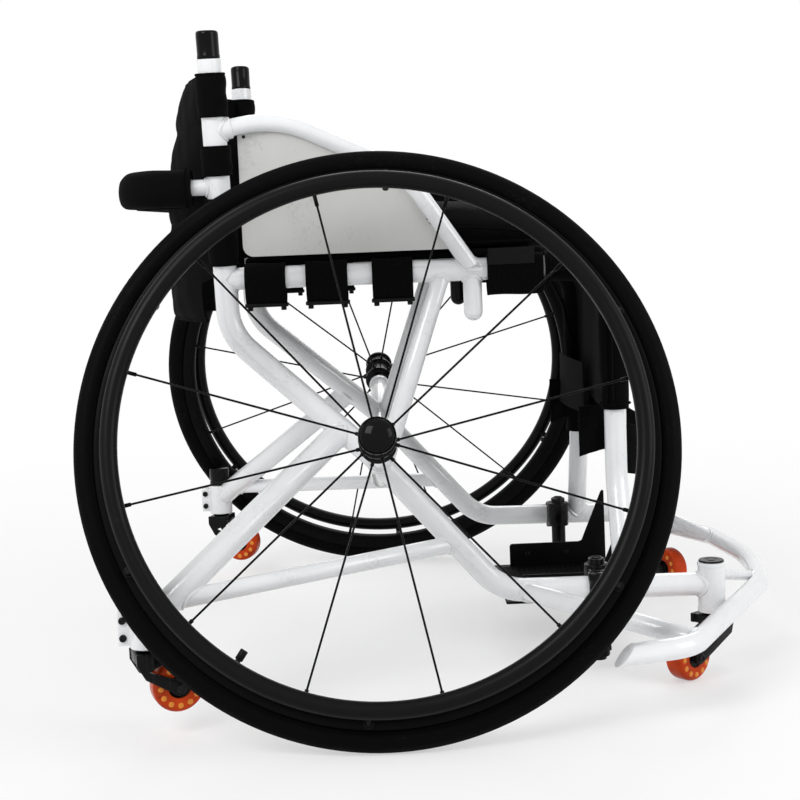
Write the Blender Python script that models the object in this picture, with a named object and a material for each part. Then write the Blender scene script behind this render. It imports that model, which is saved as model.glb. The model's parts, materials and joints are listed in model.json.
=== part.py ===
"""A rigid basketball wheelchair: welded tube frame with a wing bumper, two cambered drive wheels,
two front casters, two small rear casters that stop it tipping back, a sling back, a cushion and a footrest.

X points forwards, Y to the sitter's left, Z up. Sizes are in metres and angles in radians.
Each place is measured from the point on the floor under the middle of the axle line, and the root
empty then moves the whole chair, so that its box is centred on the world's origin.
"""

import math

import bmesh
import bpy
from mathutils import Matrix, Vector

# Clearances and mesh fineness
GAP = 0.0003
TUBE_SIDES = 12
SOFT_SIDES = 10
SMALL_SIDES = 8
ROD_SIDES = 5
WHEEL_SEGMENTS = 48
HUB_SEGMENTS = 16
CASTER_SEGMENTS = 20
CORE_SEGMENTS = 12
TYRE_SIDES = 6
HANDRIM_SIDES = 6
BED_STEPS = 2
ARC_STEP = math.radians(24)
SHARP_ANGLE = math.radians(35)
AXIS_DISPLAY_SIZE = 0.03

# Drive wheels
CAMBER = math.radians(17)
WHEEL_CENTRE_Y = 0.3447
TYRE_RADIUS = 0.305
TYRE_SECTION_RADIUS = 0.0125
RIM_DEPTH = 0.0261
RIM_HALF_WIDTH = 0.0102
RIM_CREST_HALF_WIDTH = 0.0045
RIM_SHOULDER = 0.006
RIM_BED_HALF_ANGLE = math.radians(44)
HANDRIM_RADIUS = 0.2643
HANDRIM_TUBE_RADIUS = 0.009
HANDRIM_OFFSET = 0.032
TAB_COUNT = 6
TAB_RADIUS = 0.004
TAB_SIDES = 6
TAB_FIRST_ANGLE = math.radians(-34)
SPOKE_COUNT = 12
SPOKE_RADIUS = 0.0012
SPOKE_FIRST_ANGLE = math.radians(12)
SPOKE_ROOT_DEPTH = 0.003
NIPPLE_RADIUS = 0.0022
NIPPLE_LENGTH = 0.012
VALVE_ANGLE = math.radians(-124.5)
VALVE_RADIUS = 0.003
VALVE_LENGTH = 0.022
HUB_INNER_FACE = -0.030
HUB_OUTER_FACE = 0.0345
HUB_BARREL_RADIUS = 0.0165
HUB_FLANGE_RADIUS = 0.0195
HUB_FLANGE_WIDTH = 0.005
HUB_END_STEP = 0.003
HUB_FLANGES = (-0.0215, 0.013)
AXLE_RADIUS = 0.006
AXLE_SPACER_RADIUS = 0.0095
AXLE_SPACER_LENGTH = 0.006
AXLE_SOCKET_DEPTH = 0.042
AXLE_CAP_RADIUS = 0.019
AXLE_CAP_HEIGHT = 0.013
AXLE_CAP_EDGE = 0.0052
AXLE_DOME_STEPS = 4

# Frame tubes
MAIN_TUBE_RADIUS = 0.013
CAMBER_TUBE_RADIUS = 0.0125
SEAT_RAIL_RADIUS = 0.0124
FRONT_STAY_RADIUS = 0.010
REAR_STAY_RADIUS = 0.0142
BRACE_RADIUS = 0.0095
WING_RADIUS = 0.0105
BUMPER_RADIUS = 0.0112
MAIN_BEND_RADIUS = 0.060
CROSSING_BEND_RADIUS = 0.150
RAIL_BEND_RADIUS = 0.050
FRONT_POST_BEND_RADIUS = 0.080
BUMPER_BEND_RADIUS = 0.045
BUMPER_END_SLANT = 0.9
BUMPER_BOW_RADIUS = 0.400

# Back posts, from the seat corner up to the push caps
POST_TOP_HEIGHT = 0.692
POST_TOP_X = -0.1655
POST_TOP_Y = 0.188
UPPER_BEND_X = -0.161
UPPER_BEND_Y = 0.165
UPPER_BEND_HEIGHT = 0.394
POST_CAP_HEIGHT = 0.030
POST_CAP_RADIUS = 0.0124
POST_CAP_BEVEL = 0.0015

# Main tubes, crossing the axle line and bending into the caster arms
CROSSING_Y = 0.205
LOWER_BEND_X = 0.128
LOWER_BEND_Y = 0.215
LOWER_BEND_HEIGHT = 0.102
CAMBER_TUBE_BEND_Y = 0.078
CAMBER_TUBE_BEND_RADIUS = 0.060

# Seat rails and front posts
SEAT_RAIL_HEIGHT = 0.455
FRONT_POST_X = 0.266
FRONT_POST_Y = 0.165
FRONT_POST_KINK_HEIGHT = 0.215
FRONT_STAY_TOP_X = 0.078
FRONT_STAY_FOOT_X = 0.004
RAIL_PEG_X = 0.1108
RAIL_PEG_RADIUS = 0.0104
RAIL_PEG_BOTTOM = 0.398
RAIL_PEG_DOME_STEPS = 4

# Front casters
STEM_X = 0.3615
STEM_Y = 0.211
ARM_HEIGHT = 0.099
HOUSING_RADIUS = 0.0155
HOUSING_BOTTOM = 0.068
HOUSING_TOP = 0.124
HOUSING_RIM = 0.0015
THRUST_COLLAR_WIDTH = 0.0035
STEM_CAP_HEIGHT = 0.002
CASTER_RADIUS = 0.027
CASTER_WIDTH = 0.024
CASTER_CORE_RADIUS = 0.0115
CASTER_BOLT_RADIUS = 0.003
FRONT_TRAIL = 0.043
FRONT_STEM_RADIUS = 0.006
FRONT_CROWN_TOP = 0.0655
FRONT_CROWN_THICKNESS = 0.010
FRONT_CROWN_REACH = 0.0155
FRONT_ARM_WIDTH = 0.012
FRONT_ARM_DROP = 0.006
FORK_ARM_THICKNESS = 0.0045
FORK_CROWN_INSET = 0.001
FORK_SIDE_GAP = 0.0015
FORK_BOSS_RADIUS = 0.0075
FORK_BOLT_HEAD = 0.002
CASTER_EDGE_SHARE = 0.45
FORK_BOSS_STEPS = 6
CORE_FACE_SHARE = 0.6
RIGHT_FRONT_YAW = math.radians(-140)
LEFT_FRONT_YAW = math.radians(-57)
LINK_RADIUS = 0.0062
LINK_HEIGHT = 0.110
LINK_LANDING = 0.25

# Bumper, low round the front
BUMPER_REAR_SETBACK = 0.1355
BUMPER_REAR_Y = 0.392
BUMPER_SIDE_SETBACK = 0.0555
BUMPER_SIDE_Y = 0.380
BUMPER_CORNER_REACH = 0.0725
BUMPER_CORNER_Y = 0.133
BUMPER_NOSE_REACH = 0.0945
BUMPER_HEIGHT = 0.078
BUMPER_REAR_HEIGHT = 0.0745
WING_START_X = 0.150
WING_LANDING = 0.08

# Rear stays and rear casters
REAR_STAY_TOP_X = -0.040
REAR_STEM_X = -0.2415
REAR_STEM_Y = 0.358
REAR_CLAMP_RADIUS = 0.0162
REAR_CLAMP_BOTTOM = 0.095
REAR_CLAMP_TOP = 0.137
REAR_CLAMP_EAR_REACH = 0.027
REAR_CLAMP_EAR_HALF_WIDTH = 0.0085
REAR_CLAMP_EAR_INSET = 0.004
REAR_CLAMP_SLOT = 0.002
REAR_STAY_FOOT_HEIGHT = 0.117
REAR_SLEEVE_RADIUS = 0.0115
REAR_SLEEVE_CAP_RADIUS = 0.0145
REAR_SLEEVE_TOP = 0.163
REAR_SLEEVE_BEVEL = 0.002
REAR_STEM_ABOVE_CLAMP = 0.010
REAR_STEM_RADIUS = 0.005
REAR_WHEEL_HEIGHT = 0.052
REAR_TRAIL = 0.029
REAR_CROWN_TOP = 0.092
REAR_CROWN_THICKNESS = 0.0115
REAR_CROWN_REACH = 0.0145
REAR_ARM_WIDTH = 0.0085
REAR_ARM_DROP = 0.0115
RIGHT_REAR_YAW = math.radians(22)
LEFT_REAR_YAW = math.radians(-14)
BRACE_FRONT_X = 0.081
BRACE_REAR_X = -0.219

# Side guards
GUARD_TUBE_RADIUS = 0.0095
GUARD_SOCKET_RADIUS = 0.0118
GUARD_SOCKET_LENGTH = 0.019
GUARD_Y = 0.174
GUARD_THICKNESS = 0.0025
GUARD_START_HEIGHT = 0.6155
GUARD_CREST_X = -0.0985
GUARD_CREST_HEIGHT = 0.6285
GUARD_SHOULDER_X = 0.0403
GUARD_SHOULDER_HEIGHT = 0.563
GUARD_LANDING_X = 0.1099
GUARD_LANDING_DEPTH = 0.0093
GUARD_REAR_X = -0.1405
GUARD_BOTTOM_HEIGHT = 0.4785
GUARD_CORNER_RADIUS = 0.012
GUARD_CREST_BEND = 0.120
GUARD_SHOULDER_BEND = 0.110

# Back and seat
BOW_HEIGHT = 0.556
BOW_RADIUS = 0.009
BOW_BEND_RADIUS = 0.035
BOW_PAD_HALF_DEPTH = 0.0215
BOW_PAD_HALF_HEIGHT = 0.022
BOW_PAD_START_X = -0.192
SLING_THICKNESS = 0.003
SLING_SLEEVE_RADIUS = 0.0162
SLING_TOP_DROP = 0.016
SLING_BOTTOM = 0.462
SLING_FLAP_BOTTOM = 0.408
SLING_FLAP_GAP = 0.008
SLING_FLAP_HALF_WIDTH = 0.140
SLING_SAG_TOP = 0.045
SLING_SAG_BOTTOM = 0.076
SLING_ROWS = 5
SLING_COLUMNS = 8
SLEEVE_WINDOW_MARGIN = 0.0045
SEAT_PAN_THICKNESS = 0.010
SEAT_PAN_REAR_X = -0.140
SEAT_PAN_FRONT_X = 0.190
SEAT_PAN_HALF_WIDTH = 0.163
STRAP_THICKNESS = 0.003
STRAP_HANG = 0.007
STRAP_PLACES = ((-0.1175, 0.045), (-0.050, 0.046), (0.0225, 0.045), (0.158, 0.062))
CUSHION_REAR_X = -0.138
CUSHION_FRONT_X = 0.200
CUSHION_HALF_WIDTH = 0.162
CUSHION_EDGE_THICKNESS = 0.028
CUSHION_CROWN = 0.018
CUSHION_FRONT_DROP = 0.010
CUSHION_CELLS = 12
CUSHION_SIDE_DRAW = 0.985
KNEE_SLEEVE_RADIUS = 0.0165
KNEE_SLEEVE_START_X = 0.1905
KNEE_SLEEVE_END_HEIGHT = 0.293
LEG_STRAP_THICKNESS = 0.0025
LEG_STRAP_BULGE = 0.060
LEG_STRAP_BOTTOM = 0.2235
LEG_STRAP_TOP = 0.277
LEG_STRAP_DROOP = 0.017
LEG_STRAP_COLUMNS = 10

# Footrest
CLAMP_X = 0.2375
CLAMP_LENGTH = 0.027
CLAMP_BOTTOM = 0.090
CLAMP_TOP = 0.122
CLAMP_WALL = 0.0045
CLAMP_BRIDGE_INSET = 0.003
FOOT_STEM_RADIUS = 0.0093
FOOT_STEM_SIDE_GAP = 0.0035
FOOT_STEM_TOP = 0.128
FOOT_STEM_BOTTOM = 0.012
FOOT_COLLAR_RADIUS = 0.013
FOOT_COLLAR_BOTTOM = 0.016
FOOT_COLLAR_TOP = 0.056
CROSSBAR_WIDTH = 0.022
CROSSBAR_THICKNESS = 0.012
TRAY_TOP = 0.0585
TRAY_THICKNESS = 0.003
TRAY_REAR_X = 0.142
TRAY_FRONT_X = 0.288
TRAY_HALF_WIDTH = 0.098
TRAY_WALL_Y = 0.0875
TRAY_WALL_REAR_X = 0.162
TRAY_WALL_TOP = 0.088
TRAY_FIN_TOP = 0.155
TRAY_FIN_REAR_X = 0.255
TRAY_FIN_INSET = 0.004
TRAY_WALL_INSET = 0.001

SIDES = (("right", -1), ("left", 1))


# Small helpers for vectors and paths
def at(side, x, y, z):
    return Vector((x, side * y, z))


def rounded_path(corners, radii):
    """The corners as a path, each inner corner replaced by an arc of its radius."""
    path = [corners[0]]
    for before, corner, after, radius in zip(corners, corners[1:], corners[2:], radii):
        backward = (before - corner).normalized()
        forward = (after - corner).normalized()
        turn = math.pi - backward.angle(forward)
        reach = radius * math.tan(turn / 2)
        centre = corner + (backward + forward).normalized() * radius / math.cos(turn / 2)
        arm = corner + backward * reach - centre
        axis = arm.cross(corner + forward * reach - centre).normalized()
        steps = max(2, math.ceil(turn / ARC_STEP))
        for step in range(steps + 1):
            path.append(centre + Matrix.Rotation(turn * step / steps, 3, axis) @ arm)
    path.append(corners[-1])
    return path


def point_where(path, axis, value):
    """The first point of the path whose coordinate along the axis (0, 1 or 2) is the value."""
    for start, end in zip(path, path[1:]):
        low, high = sorted((start[axis], end[axis]))
        if low <= value <= high and high > low:
            return start.lerp(end, (value - start[axis]) / (end[axis] - start[axis]))
    raise ValueError(f"the path never reaches {value} along axis {axis}")


def path_between(path, first, last):
    """The stretch of the path between two points that lie on it."""

    def distance_along(point):
        travelled = 0.0
        best = (1e9, 0.0)
        for start, end in zip(path, path[1:]):
            span = end - start
            share = min(1.0, max(0.0, (point - start).dot(span) / span.length_squared))
            miss = (start + span * share - point).length
            best = min(best, (miss, travelled + share * span.length))
            travelled += span.length
        return best[1]

    begin = distance_along(first)
    finish = distance_along(last)
    inner = [point for point in path if begin + GAP < distance_along(point) < finish - GAP]
    return [first, *inner, last]


# Mesh makers: each returns a bmesh in the chair's or the piece's own coordinates
def swept(path, half_height, half_width=None, sides=TUBE_SIDES, up=Vector((0, 0, 1)), end_slant=0.0):
    """A solid bar of round or oval section along the path, with flat or slanted ends."""
    half_width = half_width or half_height
    bm = bmesh.new()
    rings = []
    normal = None
    for index, point in enumerate(path):
        inward = (point - path[index - 1]).normalized() if index else (path[1] - point).normalized()
        outward = (path[index + 1] - point).normalized() if index + 1 < len(path) else inward
        tangent = (inward + outward).normalized()
        if normal is None:
            normal = up if abs(tangent.dot(up)) < 0.95 else Vector((1, 0, 0))
        normal = (normal - tangent * normal.dot(tangent)).normalized()
        across = tangent.cross(normal)
        slant = end_slant if index in (0, len(path) - 1) else 0.0
        direction = 1 if index else -1
        ring = []
        for step in range(sides):
            angle = math.tau * (step + 0.5) / sides
            height = half_height * math.cos(angle)
            shift = tangent * (-direction * slant * (height + half_height))
            width = half_width * math.sin(angle)
            ring.append(bm.verts.new(point + normal * height + across * width + shift))
        rings.append(ring)
    for one, two in zip(rings, rings[1:]):
        for step in range(sides):
            after = (step + 1) % sides
            bm.faces.new((one[step], one[after], two[after], two[step]))
    bm.faces.new(rings[0])
    bm.faces.new(rings[-1])
    return bm


def turned(profile, segments, closed=False, first_angle=0.0):
    """A profile of (radius, height) points turned about Z; radius 0 is a point on the axis."""
    bm = bmesh.new()
    rings = []
    for radius, height in profile:
        if radius == 0:
            rings.append([bm.verts.new((0, 0, height))])
            continue
        ring = []
        for step in range(segments):
            angle = first_angle + math.tau * step / segments
            ring.append(bm.verts.new((radius * math.cos(angle), radius * math.sin(angle), height)))
        rings.append(ring)
    pairs = list(zip(rings, rings[1:]))
    if closed:
        pairs.append((rings[-1], rings[0]))
    for one, two in pairs:
        for step in range(segments):
            after = (step + 1) % segments
            corners = [one[step % len(one)], one[after % len(one)]]
            corners += [two[after % len(two)], two[step % len(two)]]
            bm.faces.new(list(dict.fromkeys(corners)))
    return bm


def cylinder(start, end, radius, sides=TUBE_SIDES):
    return swept([start, end], radius, sides=sides)


def box(low, high):
    bm = bmesh.new()
    bmesh.ops.create_cube(bm, size=1)
    size = high - low
    bmesh.ops.scale(bm, vec=size, verts=bm.verts)
    bmesh.ops.translate(bm, vec=low + size / 2, verts=bm.verts)
    return bm


def plate(outline, normal, thickness):
    """A flat plate: the outline's points are its middle plane."""
    bm = bmesh.new()
    near = [bm.verts.new(point - normal * thickness / 2) for point in outline]
    far = [bm.verts.new(point + normal * thickness / 2) for point in outline]
    bm.faces.new(near)
    bm.faces.new(far)
    for index in range(len(outline)):
        after = (index + 1) % len(outline)
        bm.faces.new((near[index], near[after], far[after], far[index]))
    return bm


def sheet(rows, thickness, direction):
    """A closed sheet through a grid of points, given its thickness along the direction."""
    bm = bmesh.new()
    front = [[bm.verts.new(point) for point in row] for row in rows]
    back = [[bm.verts.new(point + direction * thickness) for point in row] for row in rows]
    last_row = len(rows) - 1
    last_column = len(rows[0]) - 1
    for row in range(last_row):
        for column in range(last_column):
            for layer in (front, back):
                corners = (layer[row][column], layer[row][column + 1])
                bm.faces.new((*corners, layer[row + 1][column + 1], layer[row + 1][column]))
    for row in range(last_row):
        for column in (0, last_column):
            edge = (front[row][column], front[row + 1][column])
            bm.faces.new((*edge, back[row + 1][column], back[row][column]))
    for column in range(last_column):
        for row in (0, last_row):
            edge = (front[row][column], front[row][column + 1])
            bm.faces.new((*edge, back[row][column + 1], back[row][column]))
    return bm


def arc_points(centre, radius, start, end, steps):
    """Points (u, v) along an arc in a plane, from one angle to the other."""
    points = []
    for step in range(steps + 1):
        angle = start + (end - start) * step / steps
        points.append((centre[0] + radius * math.cos(angle), centre[1] + radius * math.sin(angle)))
    return points


# Objects and Booleans
def clear_scene():
    for old in list(bpy.data.objects):
        bpy.data.objects.remove(old)


def make_material(name, colour, roughness, metallic=0.0):
    material = bpy.data.materials.new(name)
    material.use_nodes = True
    shader = material.node_tree.nodes["Principled BSDF"]
    shader.inputs["Base Color"].default_value = (*colour, 1)
    shader.inputs["Roughness"].default_value = roughness
    shader.inputs["Metallic"].default_value = metallic
    return material


def make_empty(name, place, rotation=(0, 0, 0), parent=None):
    empty = bpy.data.objects.new(name, None)
    empty.empty_display_size = AXIS_DISPLAY_SIZE
    empty.location = place
    empty.rotation_euler = rotation
    empty.parent = parent
    bpy.context.collection.objects.link(empty)
    return empty


def raw_object(name, bm):
    bmesh.ops.recalc_face_normals(bm, faces=bm.faces)
    mesh = bpy.data.meshes.new(name)
    bm.to_mesh(mesh)
    bm.free()
    made = bpy.data.objects.new(name, mesh)
    bpy.context.collection.objects.link(made)
    return made


def combine(target, operand, operation):
    """Applies one exact Boolean and drops the operand."""
    modifier = target.modifiers.new(operation, "BOOLEAN")
    modifier.operation = operation
    modifier.solver = "EXACT"
    modifier.object = operand
    graph = bpy.context.evaluated_depsgraph_get()
    result = bpy.data.meshes.new_from_object(target.evaluated_get(graph))
    target.modifiers.remove(modifier)
    target.data = result
    bpy.data.objects.remove(operand)


def make_part(name, shape, material, parent, add=(), cut=()):
    """One sub-part: a shape with others welded on and others cut away."""
    part = raw_object(name, shape)
    for index, extra in enumerate(add):
        combine(part, raw_object(f"{name}_add_{index}", extra), "UNION")
    for index, cutter in enumerate(cut):
        combine(part, raw_object(f"{name}_cut_{index}", cutter), "DIFFERENCE")
    part.data.name = name
    part.data.materials.clear()
    part.data.materials.append(material)
    part.data.shade_smooth()
    part.data.set_sharp_from_angle(angle=SHARP_ANGLE)
    part.parent = parent
    return part


# Routes of the frame's tubes
def axle_line_height(y):
    return AXLE_HEIGHT - (WHEEL_CENTRE_Y - y) * math.tan(CAMBER)


def main_path(side):
    """Back post, seat corner, down across the axle line and level again as the caster arm."""
    corners = (
        at(side, POST_TOP_X, POST_TOP_Y, POST_TOP_HEIGHT),
        at(side, UPPER_BEND_X, UPPER_BEND_Y, UPPER_BEND_HEIGHT),
        at(side, 0, CROSSING_Y, axle_line_height(CROSSING_Y)),
        at(side, LOWER_BEND_X, LOWER_BEND_Y, LOWER_BEND_HEIGHT),
        at(side, STEM_X, STEM_Y, ARM_HEIGHT),
    )
    return rounded_path(corners, (MAIN_BEND_RADIUS, CROSSING_BEND_RADIUS, MAIN_BEND_RADIUS))


def rail_path(side):
    """Seat rail from the back post forwards, then down the front post to the caster arm."""
    main = main_path(side)
    start = point_where(main, 2, SEAT_RAIL_HEIGHT)
    foot = point_where(main[-6:], 0, FRONT_POST_X)
    corners = (
        start,
        at(side, FRONT_POST_X, FRONT_POST_Y, SEAT_RAIL_HEIGHT),
        at(side, FRONT_POST_X, FRONT_POST_Y, FRONT_POST_KINK_HEIGHT),
        foot,
    )
    return rounded_path(corners, (RAIL_BEND_RADIUS, FRONT_POST_BEND_RADIUS))


def bumper_path():
    corners = []
    for side in (-1, 1):
        half = [
            at(side, BUMPER_REAR_X, BUMPER_REAR_Y, BUMPER_REAR_HEIGHT),
            at(side, BUMPER_SIDE_X, BUMPER_SIDE_Y, BUMPER_HEIGHT),
            at(side, BUMPER_CORNER_X, BUMPER_CORNER_Y, BUMPER_HEIGHT),
        ]
        corners += half if side < 0 else [Vector((BUMPER_NOSE_X, 0, BUMPER_HEIGHT)), *reversed(half)]
    bend = BUMPER_BEND_RADIUS
    return rounded_path(corners, (bend, bend, BUMPER_BOW_RADIUS, bend, bend))


def bow_path():
    back = bow_back_x()
    posts = [point_where(main_path(side), 2, BOW_HEIGHT) for side in (-1, 1)]
    corners = (
        posts[0],
        Vector((back, posts[0].y, BOW_HEIGHT)),
        Vector((back, posts[1].y, BOW_HEIGHT)),
        posts[1],
    )
    return rounded_path(corners, (BOW_BEND_RADIUS, BOW_BEND_RADIUS))


def guard_path(side):
    start = point_where(main_path(side), 2, GUARD_START_HEIGHT)
    corners = (
        start,
        at(side, GUARD_CREST_X, GUARD_Y, GUARD_CREST_HEIGHT),
        at(side, GUARD_SHOULDER_X, GUARD_Y, GUARD_SHOULDER_HEIGHT),
        at(side, GUARD_LANDING_X, GUARD_Y, GUARD_LANDING_HEIGHT),
    )
    return rounded_path(corners, (GUARD_CREST_BEND, GUARD_SHOULDER_BEND))


def rear_stay_path(side):
    top = point_where(main_path(side), 0, REAR_STAY_TOP_X)
    return [top, at(side, REAR_STEM_X, REAR_STEM_Y, REAR_STAY_FOOT_HEIGHT)]


def stem_cutter(x, y, radius, low, high, sides=TUBE_SIDES):
    """An upright cutter whose flats, and not only its corners, clear the radius."""
    return cylinder(Vector((x, y, low)), Vector((x, y, high)), radius / math.cos(math.pi / sides), sides)


def tube_cutter(path, radius, gap=GAP, sides=TUBE_SIDES):
    """What a tube, with its gap, takes out of a neighbour that is fitted round it."""
    first = path[0] + (path[0] - path[1]).normalized() * radius
    last = path[-1] + (path[-1] - path[-2]).normalized() * radius
    return swept([first, *path[1:-1], last], radius + gap, sides=sides)


def sling_sag(height):
    share = (height - SLING_BOTTOM) / (SLING_TOP - SLING_BOTTOM)
    return SLING_SAG_BOTTOM + (SLING_SAG_TOP - SLING_SAG_BOTTOM) * max(0.0, share) ** 2


def post_at(height):
    return point_where(main_path(1), 2, height)


def sling_x(y, height):
    post = post_at(max(height, SLING_BOTTOM))
    return post.x - sling_sag(height) * (1 - (y / post.y) ** 2)


def bow_back_x():
    """The padded bow lies against the back of the sling."""
    return sling_x(0, BOW_HEIGHT) - SLING_THICKNESS - GAP - BOW_PAD_HALF_DEPTH


# Sub-parts of the frame
def build_main_tube(name, side, root, paint):
    axis = Vector((0, side * math.cos(CAMBER), math.sin(CAMBER)))
    centre = at(side, 0, WHEEL_CENTRE_Y, AXLE_HEIGHT)
    stub_end = centre + axis * AXLE_TUBE_FACE
    stub = cylinder(at(side, 0, CROSSING_Y, axle_line_height(CROSSING_Y)), stub_end, CAMBER_TUBE_RADIUS)
    socket_radius = (AXLE_RADIUS + GAP) / math.cos(math.pi / TUBE_SIDES)
    socket = cylinder(stub_end - axis * AXLE_SOCKET_DEPTH, stub_end + axis * GAP, socket_radius)
    housing = stem_cutter(STEM_X, side * STEM_Y, HOUSING_RADIUS + GAP, HOUSING_BOTTOM, HOUSING_TOP)
    shape = swept(main_path(side), MAIN_TUBE_RADIUS)
    make_part(f"{name}_main_tube", shape, paint, root, add=[stub], cut=[socket, housing])


def build_caster_housing(name, side, root, paint):
    y = side * STEM_Y
    bottom = Vector((STEM_X, y, HOUSING_BOTTOM))
    body = cylinder(bottom, Vector((STEM_X, y, HOUSING_TOP)), HOUSING_RADIUS, HUB_SEGMENTS)
    corner = at(side, BUMPER_CORNER_X, BUMPER_CORNER_Y, BUMPER_HEIGHT)
    nose = Vector((BUMPER_NOSE_X, 0, BUMPER_HEIGHT))
    landing = corner.lerp(nose, LINK_LANDING)
    link = cylinder(Vector((STEM_X, y, LINK_HEIGHT)), landing, LINK_RADIUS, SMALL_SIDES)
    bore = stem_cutter(STEM_X, y, FRONT_STEM_RADIUS + GAP, HOUSING_BOTTOM - GAP, HOUSING_TOP + GAP)
    bumper = tube_cutter(bumper_path(), BUMPER_RADIUS)
    make_part(f"{name}_caster_housing", body, paint, root, add=[link], cut=[bore, bumper])


def build_seat_rail(name, side, root, paint):
    """The rail, bent down into the front post, with a round-ended peg under it."""
    rail = rail_path(side)
    main = tube_cutter(main_path(side), MAIN_TUBE_RADIUS)
    centre = (0, RAIL_PEG_RADIUS)
    dome = arc_points(centre, RAIL_PEG_RADIUS, -math.pi / 2, 0, RAIL_PEG_DOME_STEPS)
    top = point_where(rail, 0, RAIL_PEG_X) - Vector((0, 0, RAIL_PEG_BOTTOM))
    peg = turned([(0, 0), *dome[1:], (RAIL_PEG_RADIUS, top.z), (0, top.z)], SOFT_SIDES)
    bmesh.ops.translate(peg, vec=(top.x, top.y, RAIL_PEG_BOTTOM), verts=peg.verts)
    make_part(f"{name}_seat_rail", swept(rail, SEAT_RAIL_RADIUS), paint, root, add=[peg], cut=[main])


def build_front_stay(name, side, root, paint):
    main = main_path(side)
    top = point_where(rail_path(side), 0, FRONT_STAY_TOP_X)
    foot = point_where(main, 0, FRONT_STAY_FOOT_X)
    cutters = [tube_cutter(main, MAIN_TUBE_RADIUS), tube_cutter(rail_path(side), SEAT_RAIL_RADIUS)]
    axis = Vector((0, side * math.cos(CAMBER), math.sin(CAMBER)))
    crossing = at(side, 0, CROSSING_Y, axle_line_height(CROSSING_Y))
    reach = 3 * CAMBER_TUBE_RADIUS
    cutters.append(cylinder(crossing - axis * reach, crossing + axis * reach, CAMBER_TUBE_RADIUS + GAP))
    make_part(f"{name}_front_stay", cylinder(top, foot, FRONT_STAY_RADIUS), paint, root, cut=cutters)


def build_rear_stay(name, side, root, paint):
    """The strut to the rear caster, ending in a split clamp with two pinch bolts."""
    y = side * REAR_STEM_Y
    low = Vector((REAR_STEM_X, y, REAR_CLAMP_BOTTOM))
    high = Vector((REAR_STEM_X, y, REAR_CLAMP_TOP))
    clamp = cylinder(low, high, REAR_CLAMP_RADIUS)
    inset = REAR_CLAMP_EAR_INSET
    ear_low = low + Vector((-REAR_CLAMP_EAR_REACH, -REAR_CLAMP_EAR_HALF_WIDTH, inset))
    ear_high = high + Vector((-REAR_SLEEVE_RADIUS, REAR_CLAMP_EAR_HALF_WIDTH, -inset))
    slot_low = Vector((ear_low.x - GAP, y - REAR_CLAMP_SLOT / 2, REAR_CLAMP_BOTTOM - GAP))
    slot_high = Vector((REAR_STEM_X, y + REAR_CLAMP_SLOT / 2, REAR_CLAMP_TOP + GAP))
    sleeve_room = REAR_SLEEVE_RADIUS + GAP
    bore = stem_cutter(REAR_STEM_X, y, sleeve_room, REAR_CLAMP_BOTTOM - GAP, REAR_CLAMP_TOP + GAP)
    main = tube_cutter(main_path(side), MAIN_TUBE_RADIUS)
    cap_room = stem_cutter(REAR_STEM_X, y, REAR_SLEEVE_CAP_RADIUS + GAP, REAR_CLAMP_TOP, REAR_SLEEVE_TOP)
    shape = swept(rear_stay_path(side), REAR_STAY_RADIUS)
    add = [clamp, box(ear_low, ear_high)]
    cut = [bore, box(slot_low, slot_high), cap_room, main]
    make_part(f"{name}_rear_stay", shape, paint, root, add=add, cut=cut)


def build_brace(name, side, root, paint):
    front = point_where(main_path(side), 0, BRACE_FRONT_X)
    rear = point_where(rear_stay_path(side), 0, BRACE_REAR_X)
    cutters = [
        tube_cutter(main_path(side), MAIN_TUBE_RADIUS),
        tube_cutter(rear_stay_path(side), REAR_STAY_RADIUS),
    ]
    make_part(f"{name}_brace", cylinder(front, rear, BRACE_RADIUS), paint, root, cut=cutters)


def build_wing(name, side, root, paint):
    start = point_where(main_path(side)[-6:], 0, WING_START_X)
    side_bend = at(side, BUMPER_SIDE_X, BUMPER_SIDE_Y, BUMPER_HEIGHT)
    corner = at(side, BUMPER_CORNER_X, BUMPER_CORNER_Y, BUMPER_HEIGHT)
    end = side_bend.lerp(corner, WING_LANDING)
    cutters = [tube_cutter(main_path(side), MAIN_TUBE_RADIUS), tube_cutter(bumper_path(), BUMPER_RADIUS)]
    make_part(f"{name}_wing_tube", cylinder(start, end, WING_RADIUS), paint, root, cut=cutters)


def build_camber_tube(root, paint):
    ends = [at(side, 0, CROSSING_Y, axle_line_height(CROSSING_Y)) for side in (-1, 1)]
    bends = [at(side, 0, CAMBER_TUBE_BEND_Y, axle_line_height(CAMBER_TUBE_BEND_Y)) for side in (-1, 1)]
    path = rounded_path((ends[0], bends[0], bends[1], ends[1]), (CAMBER_TUBE_BEND_RADIUS,) * 2)
    cutters = [tube_cutter(main_path(side), MAIN_TUBE_RADIUS) for side in (-1, 1)]
    make_part("camber_tube", swept(path, CAMBER_TUBE_RADIUS), paint, root, cut=cutters)


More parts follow.
